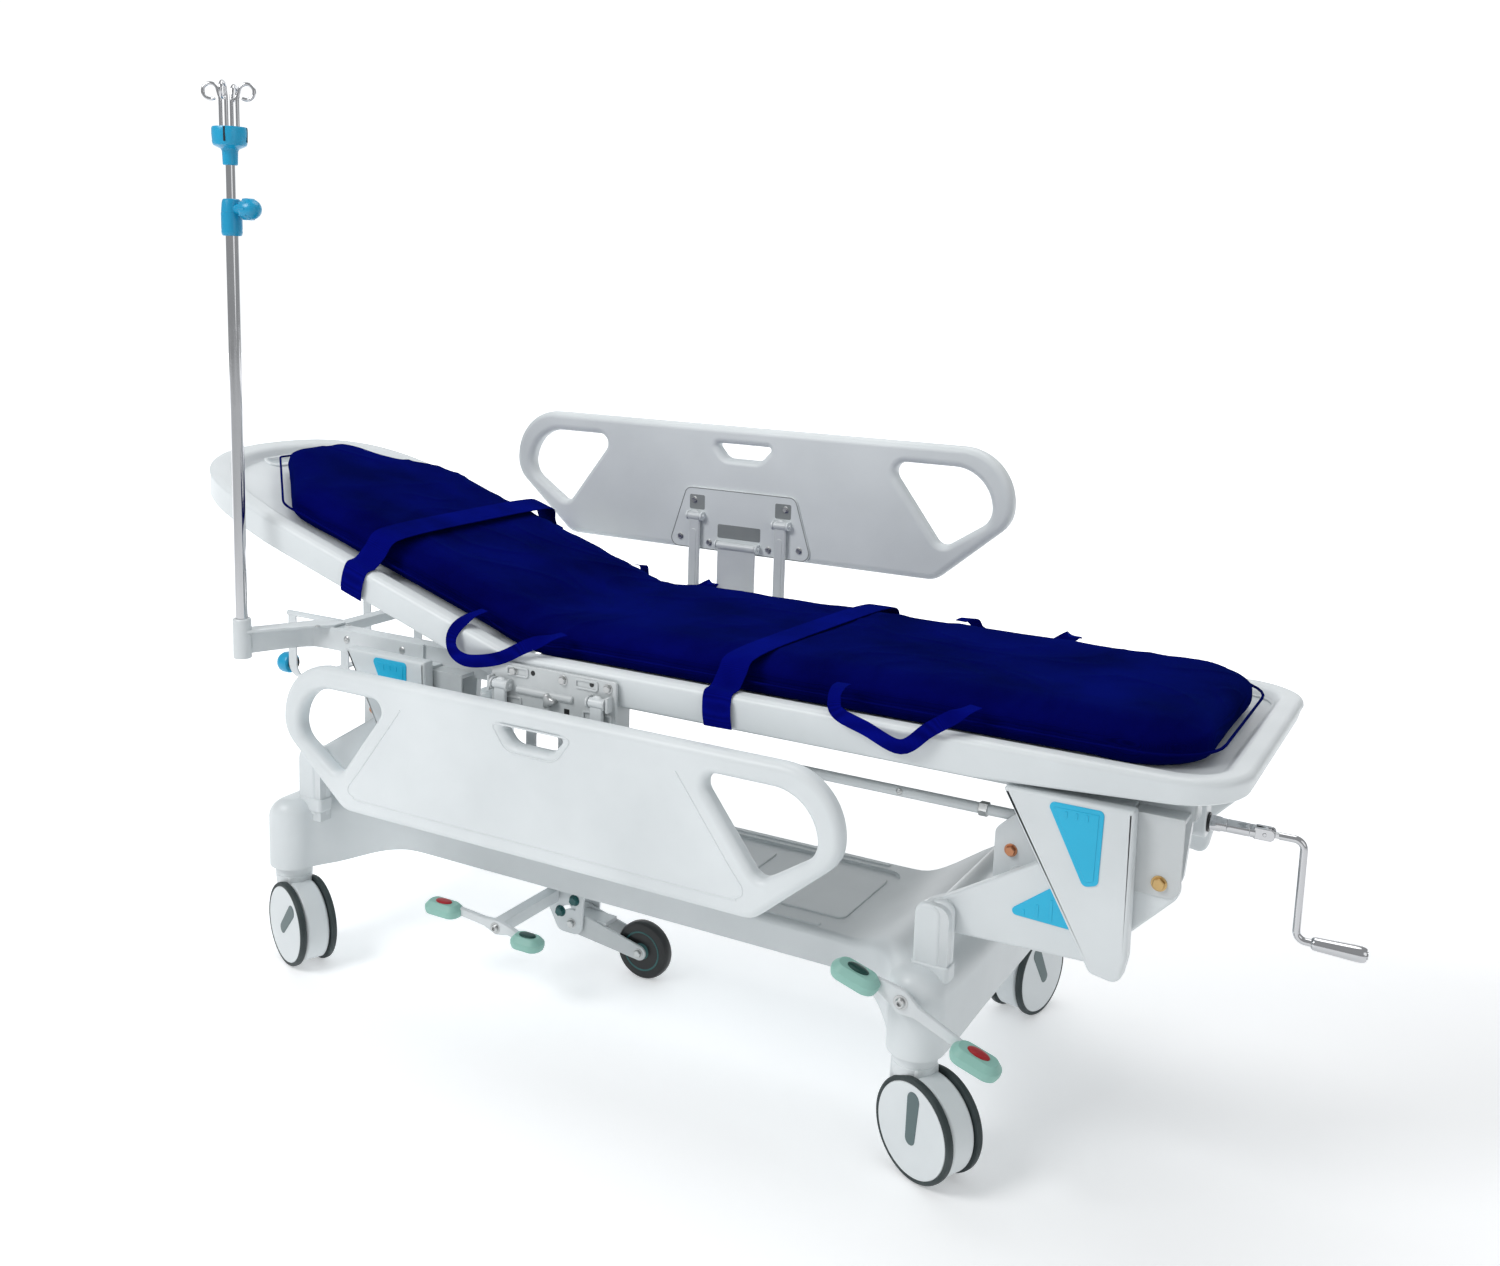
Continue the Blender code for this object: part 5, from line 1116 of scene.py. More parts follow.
# ---------------------------------------------------------------- upper frame and deck
def back_place():
    """The backrest at rest: its origin at the hinge, tilted up."""
    return placed((HINGE_X, 0, HINGE_Z), BACKREST_REST_DEG, "Y")


def leg_deck_outline(inset, x0=HINGE_X + 0.0084):
    """The foot section in plan, open at the hinge: straight sides and two round corners at the foot end."""
    x1, half = DECK_FOOT_X - inset, DECK_HALF_WIDTH - inset
    corner = FOOT_CORNER - inset
    arc = [math.pi / 2 * (1 - k / 14) for k in range(15)]
    far = [(x1 - corner + corner * math.cos(a), half - corner + corner * math.sin(a)) for a in arc]
    straight = [x0 + (x1 - corner - x0) * k / 12 for k in range(12)]
    half_loop = [(x, half) for x in straight] + far
    return half_loop + [(x, -y) for x, y in reversed(half_loop)]


def backrest_width(s, half):
    """Half the backrest's width at a distance s from the hinge."""
    if s < NARROWING_START:
        return half
    t = (s - NARROWING_START) / (BACKREST_LENGTH - NARROWING_START)
    return half * (1 - 0.12 * t) * max(0.0, 1 - t**4.2) ** 0.42


def backrest_outline(inset, start=0.0101):
    """The backrest in plan, in its own frame: it narrows to a round head."""
    half = DECK_HALF_WIDTH - inset
    length = BACKREST_LENGTH - inset
    steps = 40
    upper = [(-start - (NARROWING_START - start) * k / 10, half) for k in range(10)]
    for k in range(steps + 1):
        s = NARROWING_START + (length - NARROWING_START) * math.sin(0.5 * math.pi * k / steps)
        upper.append((-s, backrest_width(s * BACKREST_LENGTH / length, half)))
    return mirrored_outline(upper)


def rim_section(bottom, top, platform):
    """The rim's section, as (inset, height): a drafted outer wall, round shoulder and soft inner edge."""
    return [
        (0.0135, bottom), (0.0095, bottom + 0.0015), (0.0065, bottom + 0.006), (0.0022, top - 0.016),
        (0.0, top - 0.0095), (0.0006, top - 0.0055), (0.0030, top - 0.0022), (0.0075, top - 0.0004),
        (0.0110, top), (0.0260, top - 0.0002), (0.0320, top - 0.0016), (0.0362, top - 0.0052),
        (0.0400, platform + 0.0045), (0.0437, platform + 0.0006), (0.0455, platform),
        (0.0455, platform - 0.0100),
        (0.0370, platform - 0.0130), (0.0330, bottom + 0.009), (0.0290, bottom + 0.0006), (0.0265, bottom),
    ]


def foot_rise(x, z):
    """The rim's lower edge rises towards the foot end."""
    share = min(1.0, max(0.0, (x - 0.672) / (DECK_FOOT_X - 0.672)))
    lifted = z + share * (FOOT_RIM_BOTTOM - RIM_BOTTOM)
    fade = min(1.0, max(0.0, (RIM_TOP - 0.012 - z) / (RIM_TOP - 0.012 - RIM_BOTTOM)))
    return z + (lifted - z) * fade


def make_deck():
    """The moulded foot section and backrest, each a rim around a sunk panel."""
    bar = rim(leg_deck_outline, rim_section(RIM_BOTTOM, RIM_TOP, PLATFORM_TOP), foot_rise)
    inner = leg_deck_outline(RIM_WIDTH - 0.002)
    ribs = [slab([rounded(box_corners(x - 0.045, x + 0.045, -0.19, 0.19, 0.02), 4)], "Z",
                 PLATFORM_TOP - 0.011, PLATFORM_TOP - 0.0002, 0.0015)
            for x in (0.02, 0.2, 0.38, 0.56, 0.74)]
    plate = slab([inner], "Z", PLATFORM_TOP - 0.013, PLATFORM_TOP - 0.0004, 0.001)
    show("leg_deck_moulding", joined(bar, plate, *ribs), WHITE, "upper_frame",
         ["leg_deck"])

    place = back_place()
    low, high, floor = RIM_BOTTOM - HINGE_Z, RIM_TOP - HINGE_Z, PLATFORM_TOP - HINGE_Z
    bar = rim(backrest_outline, rim_section(low, high, floor))
    inner = backrest_outline(RIM_WIDTH - 0.002)
    hold = rounded([(-0.792, -0.058, 0.012), (-0.765, -0.066, 0.012), (-0.765, 0.066, 0.012),
                    (-0.792, 0.058, 0.012)], 6)
    plate = slab([inner, hold], "Z", floor - 0.013, floor - 0.0004, 0.003)
    lip_out = offset(oriented(hold, True), -0.008)
    lip = slab([lip_out, hold], "Z", floor - 0.002, floor + 0.003, 0.0024)
    show("backrest_moulding", moved(joined(bar, plate, lip), place), WHITE, "backrest",
         ["backrest_deck"])

    pan = slab([rounded(box_corners(0.06, 0.86, -0.205, 0.205, 0.02))], "Z", 0.5925, 0.6022, 0.003)
    show("leg_pan", pan, PAN, "upper_frame")


def make_frame_details():
    """Screws, plates and lug bolts on the upper frame."""
    bolts = []
    for side in (-1, 1):
        face = side * FRAME_OUTER_Y
        out = (0, side, 0)
        for x in (-0.52, -0.392, 0.245, 0.535):
            proud = 0.0048 if side < 0 and x < -0.38 else 0.0
            bolts.append(pan_screw((x, face + side * proud, 0.5855), out, 0.0066))
        bolts.append(hex_bolt((0.55, face, 0.574), out, 0.012, 0.005))
    show("frame_screws", joined(*bolts), ZINC, "upper_frame")
    caps = []
    for side in (-1, 1):
        caps.append(side_block(side, FRAME_FOOT_X - 0.001, FRAME_FOOT_X + 0.0035, FRAME_INNER_Y + 0.0005,
                               FRAME_OUTER_Y - 0.0005, FRAME_BOTTOM + 0.0005, FRAME_TOP - 0.0005, 0.0015))
        caps.append(side_block(side, FRAME_HEAD_X - 0.0035, FRAME_HEAD_X + 0.001, FRAME_INNER_Y + 0.0005,
                               FRAME_OUTER_Y - 0.0005, FRAME_BOTTOM + 0.0005, FRAME_TOP - 0.0005, 0.0015))
    show("frame_end_caps", joined(*caps), CAST, "upper_frame")
    plates, lugs = [], []
    for shift in (0.0, HEAD_SHIFT):
        tip_x = ARM_PIVOT_FOOT_X + ARM_RUN + shift
        for side in (-1, 1):
            edge = rounded([(tip_x - 0.041, 0.572, 0.002), (tip_x - 0.041, 0.463, 0.012),
                            (tip_x + 0.027, 0.463, 0.018), (tip_x + 0.027, 0.572, 0.002)], 8)
            plates.append(slab([edge], "Y", side * 0.2492, side * 0.2517, 0.0008))
            plates.append(side_block(side, tip_x - 0.038, tip_x + 0.027, FRAME_OUTER_Y - 0.001, 0.2512,
                                     0.5655, 0.572, 0.001))
            lugs.append(hex_bolt((tip_x, side * 0.2517, TIP_Z), (0, side, 0), 0.0145, 0.006))
    show("frame_lug_plates", joined(*plates), CAST, "upper_frame")
    show("frame_lug_bolts", joined(*lugs), BRASS, "upper_frame")


# ---------------------------------------------------------------- mattress and straps
FLAT_HEAD, FLAT_FOOT = -0.7476, DECK_FOOT_X - RIM_WIDTH - 0.0067 - HINGE_X


def over_hinge(point):
    """Takes a point of the mattress laid flat, x from the hinge, to its place on the bent deck."""
    x, y, h = point
    leg = Vector((HINGE_X + x, y, PLATFORM_TOP + h))
    back = back_place() @ Vector((x, y, PLATFORM_TOP - HINGE_Z + h))
    t = min(1.0, max(0.0, (x + 0.10) / 0.20))
    t = t * t * (3 - 2 * t)
    return back.lerp(leg, t)


def mattress_outline(inset):
    """The mattress laid flat, in plan: chamfered at the head, rounded at the foot."""
    half = MATTRESS_HALF_WIDTH - inset
    head, foot = FLAT_HEAD + inset, FLAT_FOOT - inset
    chamfer = MATTRESS_CHAMFER
    return rounded([(foot, -half, 0.098), (foot, half, 0.098), (head + chamfer, half, 0.05),
                    (head, half - chamfer + 0.02, 0.014), (head, -half + chamfer - 0.02, 0.014),
                    (head + chamfer, -half, 0.05)], 8)


def wrinkle(point):
    """How far the cover rises or falls at a point, from creases across it."""
    x, y, _ = point
    slow = noise.noise(Vector((x * 3.1, y * 5.0, 3.3)))
    fine = noise.noise(Vector((x * 13.0 + 3.0 * slow, y * 5.5, 1.7)))
    ridge = 1 - abs(noise.noise(Vector((x * 8.0 + 2.0 * slow, y * 3.0 + 4.0 * slow, 9.1)))) * 3.2
    return 0.0022 * slow + 0.0012 * fine + 0.0020 * max(0.0, ridge) ** 2


def puffed(obj, voxel, pressure, cap, last=20):
    """Remeshes a pad finely, swells it as cloth under pressure, and keeps each point within the cap."""
    remesh = obj.modifiers.new("remesh", "REMESH")
    remesh.mode = "VOXEL"
    remesh.voxel_size = voxel
    graph = bpy.context.evaluated_depsgraph_get()
    mesh = bpy.data.meshes.new_from_object(obj.evaluated_get(graph))
    obj.modifiers.clear()
    obj.data = mesh
    start = [v.co.copy() for v in mesh.vertices]
    cloth = obj.modifiers.new("cloth", "CLOTH")
    cloth.settings.use_pressure = True
    cloth.settings.uniform_pressure_force = pressure
    cloth.settings.effector_weights.gravity = 0.0
    cloth.settings.quality = 5
    cloth.settings.tension_stiffness = 18
    cloth.settings.compression_stiffness = 18
    cloth.settings.bending_stiffness = 0.8
    scene = bpy.context.scene
    for number in range(1, last + 1):
        scene.frame_set(number)
    graph = bpy.context.evaluated_depsgraph_get()
    swollen = bpy.data.meshes.new_from_object(obj.evaluated_get(graph))
    obj.modifiers.clear()
    obj.data = swollen
    scene.frame_set(1)
    for vert, was in zip(swollen.vertices, start):
        step = vert.co - was
        if step.length > cap:
            vert.co = was + step * (cap / step.length)
    return obj


def make_mattress():
    """The mattress as one padded piece that bends at the hinge."""
    thick = MATTRESS_THICKNESS
    steps = edge_steps(0.004, thick - 0.010, 0.016, 5)
    pad = stack([mattress_outline(0.004 + inset) for _, inset in steps], [z for z, _ in steps])
    obj = bpy.data.objects.new("mattress", pad)
    bpy.context.scene.collection.objects.link(obj)
    puffed(obj, 0.0075, 4.0, 0.011)
    smooth = obj.modifiers.new("smooth", "SMOOTH")
    smooth.factor = 0.5
    smooth.iterations = 3
    refine = obj.modifiers.new("refine", "SUBSURF")
    refine.levels = refine.render_levels = 1
    graph = bpy.context.evaluated_depsgraph_get()
    mesh = bpy.data.meshes.new_from_object(obj.evaluated_get(graph))
    bpy.data.objects.remove(obj)
    for vert in mesh.vertices:
        x, y, h = vert.co
        edge = min(1.0, max(0.0, (MATTRESS_HALF_WIDTH - abs(y)) / 0.07))
        crown = 0.006 * edge if h > 0.03 else 0.0
        lift = (wrinkle(vert.co) if h > 0.02 else 0.0) + crown
        pinch = 0.0020 * math.exp(-(((h - 0.026) / 0.0035) ** 2))
        flat = max(0.0009, h + lift)
        inward = 1 - pinch / MATTRESS_HALF_WIDTH
        vert.co = over_hinge((x, y * inward, flat))
    pad = show("mattress_pad", mesh, COVER, None, ["mattress_leg", "mattress_back"], 180)
    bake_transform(pad)

    loop = oriented(mattress_outline(0.0005), True)
    seam = tube([over_hinge((x, y, 0.0262)) for x, y in dense(loop, 0.012)], 0.0021, 8, True)
    piping = show("mattress_piping", seam, COVER, None, (), 180)
    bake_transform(piping)


def dense(loop, step):
    """The closed outline with points no further apart than a step."""
    points = []
    for a, b in zip(loop, loop[1:] + loop[:1]):
        a, b = Vector(a), Vector(b)
        count = max(1, int((b - a).length / step))
        points += [tuple(a.lerp(b, k / count)) for k in range(count)]
    return points


def strap_path(top):
    """A strap's middle line across the deck, as (y, height) pairs from under one rim to the other."""
    edge = DECK_HALF_WIDTH + 0.0022
    half = [(edge - 0.004, RIM_BOTTOM + 0.002), (edge + 0.0004, RIM_BOTTOM + 0.02),
            (edge + 0.0012, RIM_TOP - 0.014), (edge - 0.0035, RIM_TOP + 0.0008), (0.262, RIM_TOP + 0.0055),
            (0.245, top - 0.018), (0.228, top - 0.0005), (0.17, top + 0.0055), (0.085, top + 0.0068)]
    return half + [(0.0, top + 0.0068)] + [(-y, z) for y, z in reversed(half)]


def make_straps():
    """The two straps that hold a patient, from rim to rim over the mattress."""
    top = PLATFORM_TOP + MATTRESS_THICKNESS + 0.0035
    path = smooth_path([(0.288 + 0.08 * y, y, z) for y, z in strap_path(top)], 7)
    strap = show("leg_strap_webbing", band(path, (1, 0, 0), 0.0475, 0.0022, 0.0012), WEBBING, "upper_frame",
                 ["leg_strap"], 50)
    path = smooth_path([(-0.332, y, z - HINGE_Z + 0.0075 * (abs(y) < 0.24)) for y, z in strap_path(top)], 7)
    strap = show("chest_strap_webbing", moved(band(path, (1, 0, 0), 0.0475, 0.0022, 0.0012), back_place()),
                 WEBBING, "backrest", ["chest_strap"], 50)


HANDLE_WIDTH = 0.021
HANDLES = {
    "back": [
        (-0.204, 0.236, 0.685), (-0.214, 0.262, 0.678), (-0.224, 0.284, 0.662), (-0.229, 0.291, 0.642),
        (-0.219, 0.293, 0.622), (-0.188, 0.294, 0.6145), (-0.131, 0.293, 0.627), (-0.083, 0.289, 0.652),
        (-0.060, 0.266, 0.663), (-0.044, 0.236, 0.668),
    ],
    "leg": [
        (0.446, 0.236, 0.668), (0.449, 0.262, 0.668), (0.454, 0.284, 0.658), (0.464, 0.291, 0.641),
        (0.508, 0.293, 0.627), (0.561, 0.294, 0.611), (0.598, 0.292, 0.640), (0.619, 0.286, 0.655),
        (0.634, 0.264, 0.664), (0.645, 0.236, 0.668),
    ],
}


def make_handles():
    """Loops of webbing sewn to the mattress's edge, which hang over the rim."""
    for end, points in HANDLES.items():
        for side, name in ((-1, "near"), (1, "far")):
            path = smooth_path([(x, side * y, z) for x, y, z in points], 7)
            across = []
            for k, point in enumerate(path):
                along = path[min(k + 1, len(path) - 1)] - path[max(k - 1, 0)]
                hanging = ease((abs(point.y) - 0.244) / 0.044)
                across.append(Vector((0, side * hanging, 1.05 - hanging)).cross(along).normalized())
            loop = show(f"{end}_{name}_handle", band(path, across, HANDLE_WIDTH, 0.0016, 0.0006), WEBBING,
                        None, (), 50)
            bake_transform(loop)


# ---------------------------------------------------------------- side rails
def rail_outline():
    """A side rail's outline."""
    half, height = RAIL_LENGTH / 2, RAIL_HEIGHT
    right = [(half - 0.1386, 0, 0.042), (half - 0.0017, height - 0.126, 0.0588),
             (half - 0.0067, height, 0.0966)]
    left = [(-a, b, r) for a, b, r in reversed(right)]
    return [(RAIL_CENTRE_X + a, b, r) for a, b, r in right + left]


def rail_holes():
    """A side rail's two grip holes and its middle slot."""
    grip = [(0.2898, 0.2058, 0.0185), (0.4015, 0.0588, 0.0202), (0.4939, 0.1193, 0.0378),
            (0.4805, 0.2058, 0.0714)]
    slot = [(-0.0622, 0.2092, 0.005), (-0.0378, 0.1814, 0.0252), (0.0378, 0.1814, 0.0252),
            (0.0622, 0.2092, 0.005)]
    return [grip, [(-a, b, r) for a, b, r in reversed(grip)], slot]


# where the two ears of a hinge start along X from its middle, and how far its pin reaches
ARM_EARS, LINK_EARS = (-0.0172, 0.0134, 0.0205), (-0.0458, 0.042, 0.049)


def pin_ears(side, x, z, wall, spread, radii=(0.0084, 0.0078)):
    """Two ears that stand out from a wall, and the pin through them that an arm or link turns on."""
    y = side * RAIL_PIVOT_Y
    *starts, reach = spread
    made = []
    for start in starts:
        lug = capsule((y, z), (side * wall, z), *radii, 8)
        made.append(slab([lug], "X", x + start, x + start + 0.0038, 0.0008))
    return made + [rod((x - reach, y, z), (x + reach, y, z), 0.0034)]


def make_rail(side, name, raised):
    """One side rail with its panel, fixing plate, swing arms, link and knob."""
    turn = 1 if raised else -1
    hang = RAIL_PIVOT_Z + turn * RAIL_ARM
    bottom = hang - RAIL_PIVOT_ABOVE_BOTTOM
    link_z = RAIL_PIVOT_Z - RAIL_LINK_DROP
    far_z = link_z + turn * RAIL_ARM
    body = f"{name}_rail"

    def at(corners, steps):
        return shifted(rounded(corners, steps), 0, bottom)

    holes = [at([(RAIL_CENTRE_X + a, b, r) for a, b, r in hole], 12) for hole in rail_holes()]
    outline = at(rail_outline(), 18)
    panel = slab([outline, *holes], "Y", side * RAIL_INNER_Y, side * RAIL_OUTER_Y, 0.0125, 6)
    show(f"{name}_rail_moulding", panel, SHELL, body, [f"{name}_rail_panel"])

    face = side * (RAIL_OUTER_Y - 0.0002)
    dish = at([(RAIL_CENTRE_X - 0.078, 0.2135, 0.006), (RAIL_CENTRE_X - 0.047, 0.1705, 0.03),
               (RAIL_CENTRE_X + 0.047, 0.1705, 0.03), (RAIL_CENTRE_X + 0.078, 0.2135, 0.006)], 8)
    beads = [tube([(x, face, z) for x, z in dense(dish, 0.006)], 0.0016, 8, True)]
    run = [(-0.262, 0.2), (-0.350, 0.083), (-0.378, 0.046), (-0.368, 0.0305), (-0.33, 0.026), (0.0, 0.026),
           (0.33, 0.026), (0.368, 0.0305), (0.378, 0.046), (0.350, 0.083), (0.262, 0.2)]
    beads.append(tube(smooth_path([(RAIL_CENTRE_X + a, face, bottom + b) for a, b in run], 8), 0.0015, 8))
    show(f"{name}_rail_beads", joined(*beads), SHELL, body)

    plate_out, plate_in = side * (RAIL_INNER_Y - 0.0004), side * (RAIL_INNER_Y - 0.0038)
    trapezoid = at([(RAIL_CENTRE_X - 0.1562, 0.0034, 0.0168), (RAIL_CENTRE_X + 0.1562, 0.0034, 0.0168),
                    (RAIL_CENTRE_X + 0.1176, 0.1226, 0.0168), (RAIL_CENTRE_X - 0.1176, 0.1226, 0.0168)], 6)
    arms_x = (RAIL_CENTRE_X - RAIL_ARM_SPACING, RAIL_CENTRE_X + RAIL_ARM_SPACING)
    parts = [slab([trapezoid], "Y", plate_in, plate_out, 0.0014)]
    y = side * RAIL_PIVOT_Y
    for x in arms_x:
        parts += pin_ears(side, x, hang, RAIL_INNER_Y - 0.002, ARM_EARS)
    parts += pin_ears(side, RAIL_CENTRE_X, far_z, RAIL_INNER_Y - 0.002, LINK_EARS)
    show(f"{name}_rail_back_plate", joined(*parts), SHELL, body, [f"{name}_rail_plate"])
    # Painted shade: a dark line just inside the back plate's edge, and dark flat pieces where the arms and
    # link sit, standing in for the shade in these recesses.
    groove_shade = [tube([(x, plate_in, z) for x, z in dense(offset(oriented(trapezoid, True), 0.0016), 0.01)],
                   0.0009, 6, True)]
    for x, half, low, high in ((arms_x[0], 0.0165, 0.012, 0.04), (arms_x[1], 0.0165, 0.012, 0.04),
                               (RAIL_CENTRE_X, 0.046, -0.038, -0.012)):
        shade_patch = rounded(box_corners(x - half, x + half, hang + low, hang + high, 0.003), 4)
        groove_shade.append(slab([shade_patch], "Y", plate_in - side * 0.0006, plate_in + side * 0.001, 0.0004))
    show(f"{name}_rail_recess_shade", joined(*groove_shade), PAINTED_RECESS_SHADE, body)
    screws = []
    for a, b in ((-0.128, 0.024), (-0.098, 0.098), (0.098, 0.098), (0.128, 0.024), (-0.064, 0.018),
                 (0.064, 0.018)):
        screws.append(hex_bolt((RAIL_CENTRE_X + a, plate_in, bottom + b), (0, -side, 0), 0.0085, 0.0035))
    show(f"{name}_rail_plate_bolts", joined(*screws), ZINC, body)

    z0, z1 = sorted((RAIL_PIVOT_Z, hang))
    for end, x in zip(("head", "foot"), arms_x):
        strip = capsule((x, z0), (x, z1), 0.0118, 0.01179, 10)
        low, high = side * (RAIL_PIVOT_Y - 0.0042), side * (RAIL_PIVOT_Y + 0.0042)
        arm = joined(slab([strip], "Y", low, high, 0.0036, 4),
                     rod((x - 0.013, y, z0), (x + 0.013, y, z0), 0.0077),
                     rod((x - 0.013, y, z1), (x + 0.013, y, z1), 0.0077),
                     slab([capsule((x, z0 + 0.03), (x, z1 - 0.03), 0.006, 0.00599, 6)], "Y",
                          low - side * 0.0012, low + side * 0.001, 0.0008))
        show(f"{name}_{end}_rail_arm", arm, PAINT, f"{name}_rail_arms",
             [f"{name}_rail_arm_{end}"])

    low, high = side * (RAIL_PIVOT_Y - 0.0025), side * (RAIL_PIVOT_Y + 0.0025)
    l0, l1 = sorted((link_z, far_z))
    frame_loop = rounded(box_corners(RAIL_CENTRE_X - 0.0403, RAIL_CENTRE_X + 0.0403, l0, l1, 0.004), 5)
    w0, w1 = sorted((link_z + turn * 0.0151, link_z + turn * 0.0924))
    window = rounded(box_corners(RAIL_CENTRE_X - 0.0218, RAIL_CENTRE_X + 0.0218, w0, w1, 0.006), 5)
    parts = [slab([frame_loop, window], "Y", low, high, 0.0014)]
    for z in (l0, l1):
        parts.append(rod((RAIL_CENTRE_X - 0.0412, y, z), (RAIL_CENTRE_X + 0.0412, y, z), 0.0076))
    show(f"{name}_rail_yoke", joined(*parts), PAINT, f"{name}_rail_link",
         [f"{name}_rail_link"])
    make_bracket(side, name, arms_x, link_z)


def make_bracket(side, name, arms_x, link_z):
    """The casting on the frame that a side rail's arms turn on."""
    x0, x1 = arms_x[0] - 0.0252, arms_x[1] + 0.0286
    parts = [side_block(side, x0 + 0.0168, x1 - 0.0168, FRAME_OUTER_Y + 0.0004, 0.2839, 0.5225, 0.5767,
                        0.004)]
    outline = rounded(box_corners(x0, x1, 0.5225, 0.6224, 0.006), 5)
    parts.append(slab([outline], "Y", side * 0.2827, side * 0.289, 0.0016))
    for start, width, low, high in ((x0 + 0.006, 0.055, 0.529, 0.570), (x1 - 0.061, 0.055, 0.529, 0.570),
                                    (x0 + 0.030, 0.044, 0.602, 0.619), (x1 - 0.076, 0.044, 0.602, 0.619)):
        rib = rounded(box_corners(start, start + width, low, high, 0.005), 4)
        parts.append(slab([rib, offset(oriented(rib, True), 0.004)], "Y", side * 0.288, side * 0.2915,
                          0.0012))
    barrel = RAIL_CENTRE_X - 0.0125
    parts.append(rod((barrel - 0.0545, side * 0.2868, 0.5815), (barrel + 0.0545, side * 0.2868, 0.5815),
                     0.0072, 0.0015, 28))
    for x in (arms_x[0] - 0.0235, arms_x[1] + 0.0185):
        parts.append(side_block(side, x, x + 0.005, 0.288, 0.3045, 0.5755, 0.6005, 0.002))
    for x in arms_x:
        parts += pin_ears(side, x, RAIL_PIVOT_Z, 0.2895, ARM_EARS, (0.0098, 0.0085))
    parts += pin_ears(side, RAIL_CENTRE_X, link_z, 0.2895, LINK_EARS)
    show(f"{name}_bracket_casting", joined(*parts), CAST, "upper_frame",
         [f"{name}_rail_bracket"])
    face = side * 0.289
    bolts = [hex_bolt((x, face, 0.6105), (0, side, 0), 0.0115, 0.0045) for x in (-0.1025, -0.007, 0.077)]
    bolts += [hex_bolt((x, face, 0.5305), (0, side, 0), 0.0085, 0.004) for x in (x0 + 0.008, x1 - 0.008)]
    bolts += [hex_bolt((x, face, 0.549), (0, side, 0), 0.0105, 0.005) for x in (x0 + 0.033, x1 - 0.033)]
    show(f"{name}_bracket_bolts", joined(*bolts), ZINC, "upper_frame")
    # Painted shade: black discs and squares laid on the casting's face, standing in for the shade inside
    # its holes and openings.
    holes = [lathe([(-0.001, 0.0042), (0.0003, 0.0042), (0.0006, 0.0036), (0.0006, 0.0)], (x, face, 0.6125),
                   (0, side, 0), 20) for x in (-0.065, 0.047)]
    for x in (arms_x[0] + 0.002, arms_x[1] - 0.002, RAIL_CENTRE_X + 0.03):
        holes.append(side_block(side, x - 0.005, x + 0.005, 0.288, 0.2896, 0.5535, 0.5655, 0.0005))
    show(f"{name}_bracket_hole_shade", joined(*holes), BLACK, "upper_frame")

    knob_z = 0.5746
    lobes = []
    for k in range(72):
        a = 2 * math.pi * k / 72
        lobes.append((RAIL_CENTRE_X + (0.0102 + 0.0028 * math.cos(3 * a)) * math.cos(a),
                      knob_z + (0.0102 + 0.0028 * math.cos(3 * a)) * math.sin(a)))
    knob = joined(slab([lobes], "Y", side * 0.2898, side * 0.3005, 0.0028, 4),
                  rod((RAIL_CENTRE_X, side * 0.2554, knob_z), (RAIL_CENTRE_X, side * 0.2905, knob_z),
                      0.0042))
    show(f"{name}_star_knob", knob, ZINC, f"{name}_rail_knob", [f"{name}_rail_knob"])


